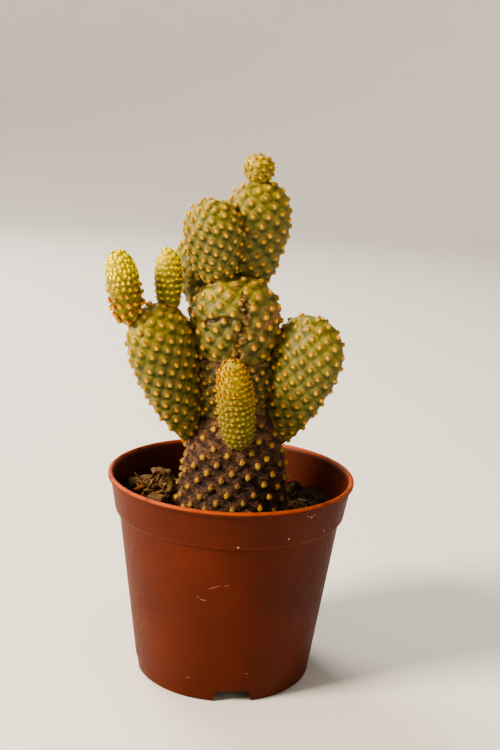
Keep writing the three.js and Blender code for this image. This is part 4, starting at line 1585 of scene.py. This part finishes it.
def scattered(pot, count, rng, inset):
    """Random places on the soil, even in area, clear of the trunk and an inset in from the pot's
    wall. More are drawn than are kept, because some of them fall in the trunk."""
    outline_points = np.array(cavity_outline(pot, CLEARANCE))
    rim = np.interp(SOIL_LEVEL, outline_points[:, 1], outline_points[:, 0]) - inset
    drawn = 3 * count
    radius = rim * np.sqrt(rng.random(drawn))
    angle = 2 * math.pi * rng.random(drawn)
    x, y = radius * np.cos(angle), radius * np.sin(angle)
    places = np.stack([x, y, soil_top(x, y)], -1)
    return places[~is_inside(TRUNK, places, 0.2)][:count]


def heaped(count, rng):
    """Random places in the heap of bark on the left, clear of the trunk. They rise over the soil
    by up to exp(-r^2 / 60) of the heap's rise, with r the distance from its top."""
    x = rng.normal(HEAP_MIDDLE[0], HEAP_SPREAD[0], count)
    y = rng.normal(HEAP_MIDDLE[1], HEAP_SPREAD[1], count)
    from_top = (x - HEAP_TOP[0]) ** 2 + (y - HEAP_TOP[1]) ** 2
    rise = HEAP_RISE * np.exp(-from_top / 60) * rng.random(count)
    places = np.stack([x, y, soil_top(x, y) + LITTER_LIFT + rise], -1)
    return places[(np.hypot(x, y) < HEAP_REACH) & ~is_inside(TRUNK, places, 0.5)]


def litter_sizes(litter, count, rng):
    """Random lengths, widths and thicknesses of slivers."""
    return np.array(litter.least) + np.array(litter.more) * rng.random((count, 3))


def turns_of(count, rng, tilt):
    """Random rotation matrices: a full turn about Z after a random tilt, in radians."""
    about_z = 2 * math.pi * rng.random(count)
    lean = tilt * rng.standard_normal(count)
    cz, sz, cl, sl = np.cos(about_z), np.sin(about_z), np.cos(lean), np.sin(lean)
    zero = np.zeros(count)
    return np.stack([
        np.stack([cz, -sz * cl, sz * sl], -1),
        np.stack([sz, cz * cl, -cz * sl], -1),
        np.stack([zero, sl, cl], -1),
    ], 1)


def crumb_shape(places, radii, rng, rows=4, columns=7):
    """Crumbs: balls of a few dozen faces, each stretched and dented by noise of its own."""
    count = len(places)
    c = -np.cos(math.pi * (np.arange(rows) + 1) / (rows + 1))
    c = np.concatenate([[-1], np.repeat(c, columns), [1]])
    angle = np.concatenate([[0], np.tile(2 * math.pi * np.arange(columns) / columns, rows), [0]])
    ring = np.sqrt(1 - c * c)
    ball = np.stack([ring * np.cos(angle), ring * np.sin(angle), c], -1)
    dents = 1 + 0.35 * noise(ball + 9.1 * np.arange(count)[:, None, None], 0.8, 71)
    stretch = 0.65 + 0.5 * rng.random((count, 1, 3))
    local = ball * dents[..., None] * stretch * radii[:, None, None]
    turned_points = np.einsum("nij,nkj->nki", turns_of(count, rng, 0.8), local)
    dry = np.clip(0.25 + 0.4 * rng.standard_normal(count), 0, 1)[:, None]
    return repeated(places[:, None, :] + turned_points, closed_faces(rows, columns), {"dry": dry})


def sliver_shape(places, sizes, curl, rng, stations=8):
    """Slivers of bark: thin bent strips. A section of four corners is carried along a path that
    rises with the square of the way to its ends, by up to the curl as a share of half its length,
    waves from side to side as a sine, and narrows towards its ends."""
    count = len(places)
    t = np.linspace(-1, 1, stations)
    taper = (1 - 0.6 * t**2)[None, :, None]
    bend = rng.random((count, 1)) * curl
    middle = np.stack([
        np.broadcast_to(t, (count, stations)) * sizes[:, :1] / 2,
        0.07 * sizes[:, :1] * np.sin(2.2 * t + 6 * rng.random((count, 1))),
        bend * sizes[:, :1] / 2 * t**2,
    ], -1)
    corners = np.array([[-1, -1], [1, -1], [1, 1], [-1, 1]]) / 2
    across = corners[None, None, :, 0] * sizes[:, 1, None, None] * taper
    thick = corners[None, None, :, 1] * sizes[:, 2, None, None] * taper
    local = np.repeat(middle[:, :, None, :], 4, 2)
    local[..., 1] += across
    local[..., 2] += thick
    local = local.reshape(count, -1, 3)
    turned_points = np.einsum("nij,nkj->nki", turns_of(count, rng, 0.3), local)
    quads = ring_quads(stations, 4)
    ends = np.array([[3, 2, 1, 0], 4 * (stations - 1) + np.arange(4)])
    shade = rng.random(count)[:, None]
    return repeated(places[:, None, :] + turned_points, [quads, ends], {"shade": shade})


def turn_matrix(turns):
    """The rotation about X, then Y, then Z by angles in degrees."""
    x, y, z = (Matrix.Rotation(math.radians(turn), 3, axis) for turn, axis in zip(turns, "XYZ"))
    return np.array(z @ y @ x)


def curl_shape(curl, seed):
    """A curl of bark: an arc-shaped section of an outer and an inner face, thinner at its edges,
    carried along the curl's length. Fibre noise stretched along it roughens both faces, and its
    ends are ragged. Its UV map is the way round the bend and the way along, in metres."""
    bend_steps, stations = 34, 26
    half = math.radians(curl.arc) / 2
    share = np.linspace(-1, 1, bend_steps)
    angle = np.concatenate([share * half, share[::-1] * half])
    outer = np.concatenate([np.ones(bend_steps), -np.ones(bend_steps)])
    edge = np.concatenate([share, share[::-1]])
    t = np.linspace(-1, 1, stations)[:, None]
    thin = (1 - 0.55 * np.abs(edge) ** 8) * (1 - 0.45 * np.abs(t) ** 10)
    way = angle * curl.bend
    seeds = np.stack([way * 1.4 + 0 * t, outer * 3 + 0 * t, t * curl.length * 0.16 + 0 * way], -1)
    fibres = noise(seeds, 0.9, seed, 3)
    broad = noise(seeds, 4.5, seed + 1, 2)
    ragged = 1 + 0.10 * noise(np.stack([way, outer * 0.3, 0 * way], -1), 1.6, seed + 2, 3)
    radius = curl.bend + outer * curl.thick / 2 * thin * (1 + 0.35 * fibres) + 0.35 * broad
    local = np.stack([
        radius * np.cos(angle), radius * np.sin(angle), t * curl.length / 2 * ragged + 0 * way,
    ], -1)
    points = local.reshape(-1, 3) @ turn_matrix(curl.turns).T + np.array(curl.at)
    columns = 2 * bend_steps
    quads = ring_quads(stations, columns)
    here = np.arange(bend_steps - 1)
    start = np.stack([here, columns - 1 - here, columns - 2 - here, here + 1], -1)
    end = start[:, ::-1] + (stations - 1) * columns
    grain = np.stack([way + 0 * t, t * curl.length / 2 + 0 * way], -1).reshape(-1, 2)
    return Shape(points, [quads, start, end], {}), grain * MM


def chip_shape(seed):
    """The reddish chip: a four-sided bar with worn edges, dented by noise, that narrows towards its
    slanting ends. Its UV map is the way round it and the way along, in metres."""
    stations, columns = 22, 20
    size = np.array(CHIP_SIZE) / 2
    t = np.linspace(-1, 1, stations)[:, None]
    angle = 2 * math.pi * np.arange(columns) / columns + 0.1
    square = 1 / np.maximum(np.abs(np.cos(angle)), np.abs(np.sin(angle)))
    square = np.minimum(square, 1.22)
    taper = 1 - 0.3 * np.abs(t) ** 6
    local = np.stack([
        size[0] * (t + 0.1 * np.sin(2 * angle) * t**3),
        size[1] * 0.95 * square * np.cos(angle) * taper,
        size[2] * 0.95 * square * np.sin(angle) * taper,
    ], -1)
    dents = noise(local * (0.25, 1.5, 1.5), 0.9, seed, 3)
    local[..., 1:] *= (1 + 0.12 * dents)[..., None]
    points = local.reshape(-1, 3) @ turn_matrix(CHIP_TURNS).T + np.array(CHIP_PLACE)
    ends = [np.arange(columns)[None, ::-1], (np.arange(columns) + (stations - 1) * columns)[None]]
    grain = np.stack([size[1] * angle + 0 * t, size[0] * t + 0 * angle], -1).reshape(-1, 2)
    return Shape(points, [ring_quads(stations, columns), *ends], {}), grain * MM


def with_grain(mesh, grain):
    """A mesh with a UV map named grain that holds a place for each of its points."""
    corners = np.zeros(len(mesh.loops), np.int32)
    mesh.loops.foreach_get("vertex_index", corners)
    layer = mesh.uv_layers.new(name="grain")
    layer.data.foreach_set("uv", grain[corners].astype(np.float32).ravel())
    return mesh


def floor_shape(radius, cove, wall):
    """The stage: a flat round floor that turns up at its edge into a low wall all round."""
    turn = np.linspace(0, math.pi / 2, 24)
    profile = np.concatenate([
        np.stack([np.linspace(0.2, 1, 8) * radius, np.zeros(8)], -1),
        np.stack([radius + cove * np.sin(turn), cove * (1 - np.cos(turn))], -1)[1:],
        [[radius + cove, cove + wall]],
    ])
    columns = 96
    angle = 2 * math.pi * np.arange(columns) / columns
    points = np.stack([
        profile[:, :1] * np.cos(angle), profile[:, :1] * np.sin(angle),
        np.repeat(profile[:, 1:], columns, 1),
    ], -1).reshape(-1, 3)
    quads = ring_quads(len(profile), columns)[:, ::-1]
    here = np.arange(columns)
    middle = len(points)
    fan = np.stack([np.full(columns, middle), here, (here + 1) % columns], -1)
    return Shape(np.concatenate([points, [[0, 0, 0]]]), [quads, fan], {})


def add_light(lamp, power):
    """One of the stage's lights, turned to the plant."""
    name = lamp.name + "_light"
    data = bpy.data.lights.new(name, "AREA")
    data.size = lamp.width
    data.energy = power
    data.color = lamp.tone
    light = bpy.data.objects.new(name, data)
    light.location = lamp.place
    aim = Vector(LAMP_AIM) - Vector(lamp.place)
    light.rotation_euler = aim.to_track_quat("-Z", "Y").to_euler()
    bpy.context.scene.collection.objects.link(light)


def add_camera():
    """The photograph's camera: above the front, and rolled a little."""
    elevation, roll = math.radians(CAMERA_ELEVATION), math.radians(CAMERA_ROLL)
    back = Vector((0, -math.cos(elevation), math.sin(elevation)))
    level, upright = Vector((1, 0, 0)), Vector((1, 0, 0)).cross(-back)
    right = level * math.cos(roll) + upright * math.sin(roll)
    up = upright * math.cos(roll) - level * math.sin(roll)
    data = bpy.data.cameras.new("camera")
    data.lens = CAMERA_LENS
    data.clip_start, data.clip_end = 0.01, 20
    camera = bpy.data.objects.new("camera", data)
    turn = Matrix((right, up, back)).transposed()
    place = (Vector(CAMERA_AIM) + back * CAMERA_DISTANCE) * MM
    camera.matrix_world = Matrix.Translation(place) @ turn.to_4x4()
    bpy.context.scene.collection.objects.link(camera)
    bpy.context.scene.camera = camera


class CACTUS_OT_pot(bpy.types.Operator):
    """Make the pot with its rolled lip, notches and drain holes"""

    bl_idname = "cactus.make_pot"
    bl_label = "Make the Pot"

    def execute(self, context):
        scene = context.scene
        pot = millimetres(scene.cactus_pot)
        mesh = cut(mesh_of("pot_shell", pot_shape(pot)), mesh_of("pot_cutters", cutters(pot)))
        mesh.shade_smooth()
        mesh.set_sharp_from_angle(angle=SHARP_ANGLE)
        add_piece("pot_shell", mesh, pot_finish(scene.cactus_colours, pot), ["pot"])
        return {"FINISHED"}


class CACTUS_OT_soil(bpy.types.Operator):
    """Make the soil and the crumbs that lie on it"""

    bl_idname = "cactus.make_soil"
    bl_label = "Make the Soil"

    def execute(self, context):
        scene = context.scene
        pot = millimetres(scene.cactus_pot)
        material = soil_finish(scene.cactus_colours)
        mesh = mesh_of("soil_bed", soil_shape(pot))
        add_piece("soil_bed", mesh, material, ["soil"])
        rng = np.random.default_rng(11)
        places = scattered(pot, CRUMB_COUNT, rng, inset=1.2)
        # The fourth power leaves few large ones
        radii = CRUMB_LEAST + CRUMB_MORE * rng.random(len(places)) ** 4
        crumbs = crumb_shape(places, radii, rng)
        add_piece("soil_crumbs", mesh_of("soil_crumbs", crumbs), material)
        return {"FINISHED"}


class CACTUS_OT_bark(bpy.types.Operator):
    """Make the flakes and curls of dry bark on the soil"""

    bl_idname = "cactus.make_bark"
    bl_label = "Make the Bark"

    def execute(self, context):
        scene = context.scene
        tones = scene.cactus_colours
        material = bark_finish("dry_bark", tones.bark, tones.bark_dark)
        for order, curl in enumerate(BARK):
            shape, grain = curl_shape(curl, 80 + 5 * order)
            mesh = with_grain(mesh_of(curl.name + "_fibres", shape), grain)
            add_piece(curl.name + "_fibres", mesh, material, [curl.name])
        shape, grain = chip_shape(120)
        mesh = with_grain(mesh_of("chip_fibres", shape), grain)
        material = bark_finish("red_bark", tones.chip, toned(tones.chip, 0.35))
        add_piece("chip_fibres", mesh, material, ["bark_chip_red"])
        pot = millimetres(scene.cactus_pot)
        rng = np.random.default_rng(23)
        loose = scattered(pot, LOOSE_LITTER.count, rng, inset=3.5) + (0, 0, LITTER_LIFT)
        loose_sizes = litter_sizes(LOOSE_LITTER, len(loose), rng)
        heap = heaped(HEAPED_LITTER.count, rng)
        heap_sizes = litter_sizes(HEAPED_LITTER, len(heap), rng)
        slivers = join([
            sliver_shape(loose, loose_sizes, LOOSE_LITTER.curl, rng),
            sliver_shape(heap, heap_sizes, HEAPED_LITTER.curl, rng),
        ])
        add_piece("bark_slivers", mesh_of("bark_slivers", slivers), litter_finish(tones))
        return {"FINISHED"}


class CACTUS_OT_pads(bpy.types.Operator):
    """Make the trunk and the grown pads with their bristle tufts"""

    bl_idname = "cactus.make_pads"
    bl_label = "Make the Grown Pads"

    def execute(self, context):
        scene = context.scene
        plant = plant_sizes(scene)
        skin = skin_finish("green_skin", scene.cactus_colours)
        cork = skin_finish("corky_skin", scene.cactus_colours)
        tufts = tuft_finish(scene.cactus_colours)
        for pad, seed in pads_with_seeds(growing=False):
            if pad is TRUNK:
                make_pad(pad, seed, cork, tufts, plant)
            else:
                make_pad(pad, seed, skin, tufts, plant)
        return {"FINISHED"}


class CACTUS_OT_young_pads(bpy.types.Operator):
    """Make the youngest pads with their scale leaves, and the crown bud"""

    bl_idname = "cactus.make_young_pads"
    bl_label = "Make the Young Pads"

    def execute(self, context):
        scene = context.scene
        plant = plant_sizes(scene)
        skin = skin_finish("young_skin", scene.cactus_colours)
        leaves = leaf_finish(scene.cactus_colours)
        tufts = tuft_finish(scene.cactus_colours)
        for pad, seed in pads_with_seeds(growing=True):
            growth = leaves if pad.name in LEAF_FORMS else tufts
            make_pad(pad, seed, skin, growth, plant)
        return {"FINISHED"}


class CACTUS_OT_stage(bpy.types.Operator):
    """Make the pale floor, the studio's lights and the camera"""

    bl_idname = "cactus.make_stage"
    bl_label = "Make the Stage"

    def execute(self, context):
        scene = context.scene
        mesh = mesh_of("studio_floor", floor_shape(FLOOR_RADIUS, FLOOR_COVE, FLOOR_WALL))
        floor = bpy.data.objects.new("studio_floor", mesh)
        finish = Finish("pale_floor", 0.8, 0.2)
        tone = scene.cactus_colours.floor
        finish.colour(finish.blend(finish.noise(40, 2), tone, toned(tone, 0.97)))
        floor.data.materials.append(finish.material)
        scene.collection.objects.link(floor)
        for lamp in LAMPS:
            add_light(lamp, getattr(scene.cactus_light, lamp.name))
        world = bpy.data.worlds.new("studio_world")
        world.use_nodes = True
        background = world.node_tree.nodes["Background"]
        background.inputs["Color"].default_value = (*SKY_TONE, 1.0)
        background.inputs["Strength"].default_value = scene.cactus_light.sky
        scene.world = world
        scene.view_settings.view_transform = "AgX"
        scene.view_settings.look = "AgX - Medium High Contrast"
        add_camera()
        return {"FINISHED"}


def plant_sizes(scene):
    """The plant's sizes in millimetres, with its count of bristles as it is."""
    sizes = millimetres(scene.cactus_plant)
    sizes.bristle_count = scene.cactus_plant.bristle_count
    return sizes


MAKERS = (
    CACTUS_OT_pot,
    CACTUS_OT_soil,
    CACTUS_OT_bark,
    CACTUS_OT_pads,
    CACTUS_OT_young_pads,
    CACTUS_OT_stage,
)
SETTINGS = {
    "cactus_pot": PotSizes,
    "cactus_plant": PlantSizes,
    "cactus_colours": FinishColours,
    "cactus_light": StageLight,
}


class CACTUS_PT_pieces(bpy.types.Panel):
    """Lists the cactus's pieces and the settings they are made from"""

    bl_idname = "CACTUS_PT_pieces"
    bl_label = "Potted Paddle Cactus"
    bl_space_type = "VIEW_3D"
    bl_region_type = "UI"
    bl_category = "Cactus"

    def draw(self, context):
        for maker in MAKERS:
            self.layout.operator(maker.bl_idname)
        for name, group in SETTINGS.items():
            box = self.layout.box()
            for setting in group.__annotations__:
                box.prop(getattr(context.scene, name), setting)


def register():
    """Adds the settings, the operators and the panel to Blender."""
    for group in SETTINGS.values():
        bpy.utils.register_class(group)
    for name, group in SETTINGS.items():
        setattr(bpy.types.Scene, name, PointerProperty(type=group))
    for maker in (*MAKERS, CACTUS_PT_pieces):
        bpy.utils.register_class(maker)


def unregister():
    """Takes them away again."""
    for maker in reversed((*MAKERS, CACTUS_PT_pieces)):
        bpy.utils.unregister_class(maker)
    for name in SETTINGS:
        delattr(bpy.types.Scene, name)
    for group in SETTINGS.values():
        bpy.utils.unregister_class(group)


def main():
    """Makes every piece in order."""
    register()
    bpy.ops.cactus.make_pot()
    bpy.ops.cactus.make_soil()
    bpy.ops.cactus.make_bark()
    bpy.ops.cactus.make_pads()
    bpy.ops.cactus.make_young_pads()
    bpy.ops.cactus.make_stage()


if __name__ == "__main__":
    main()
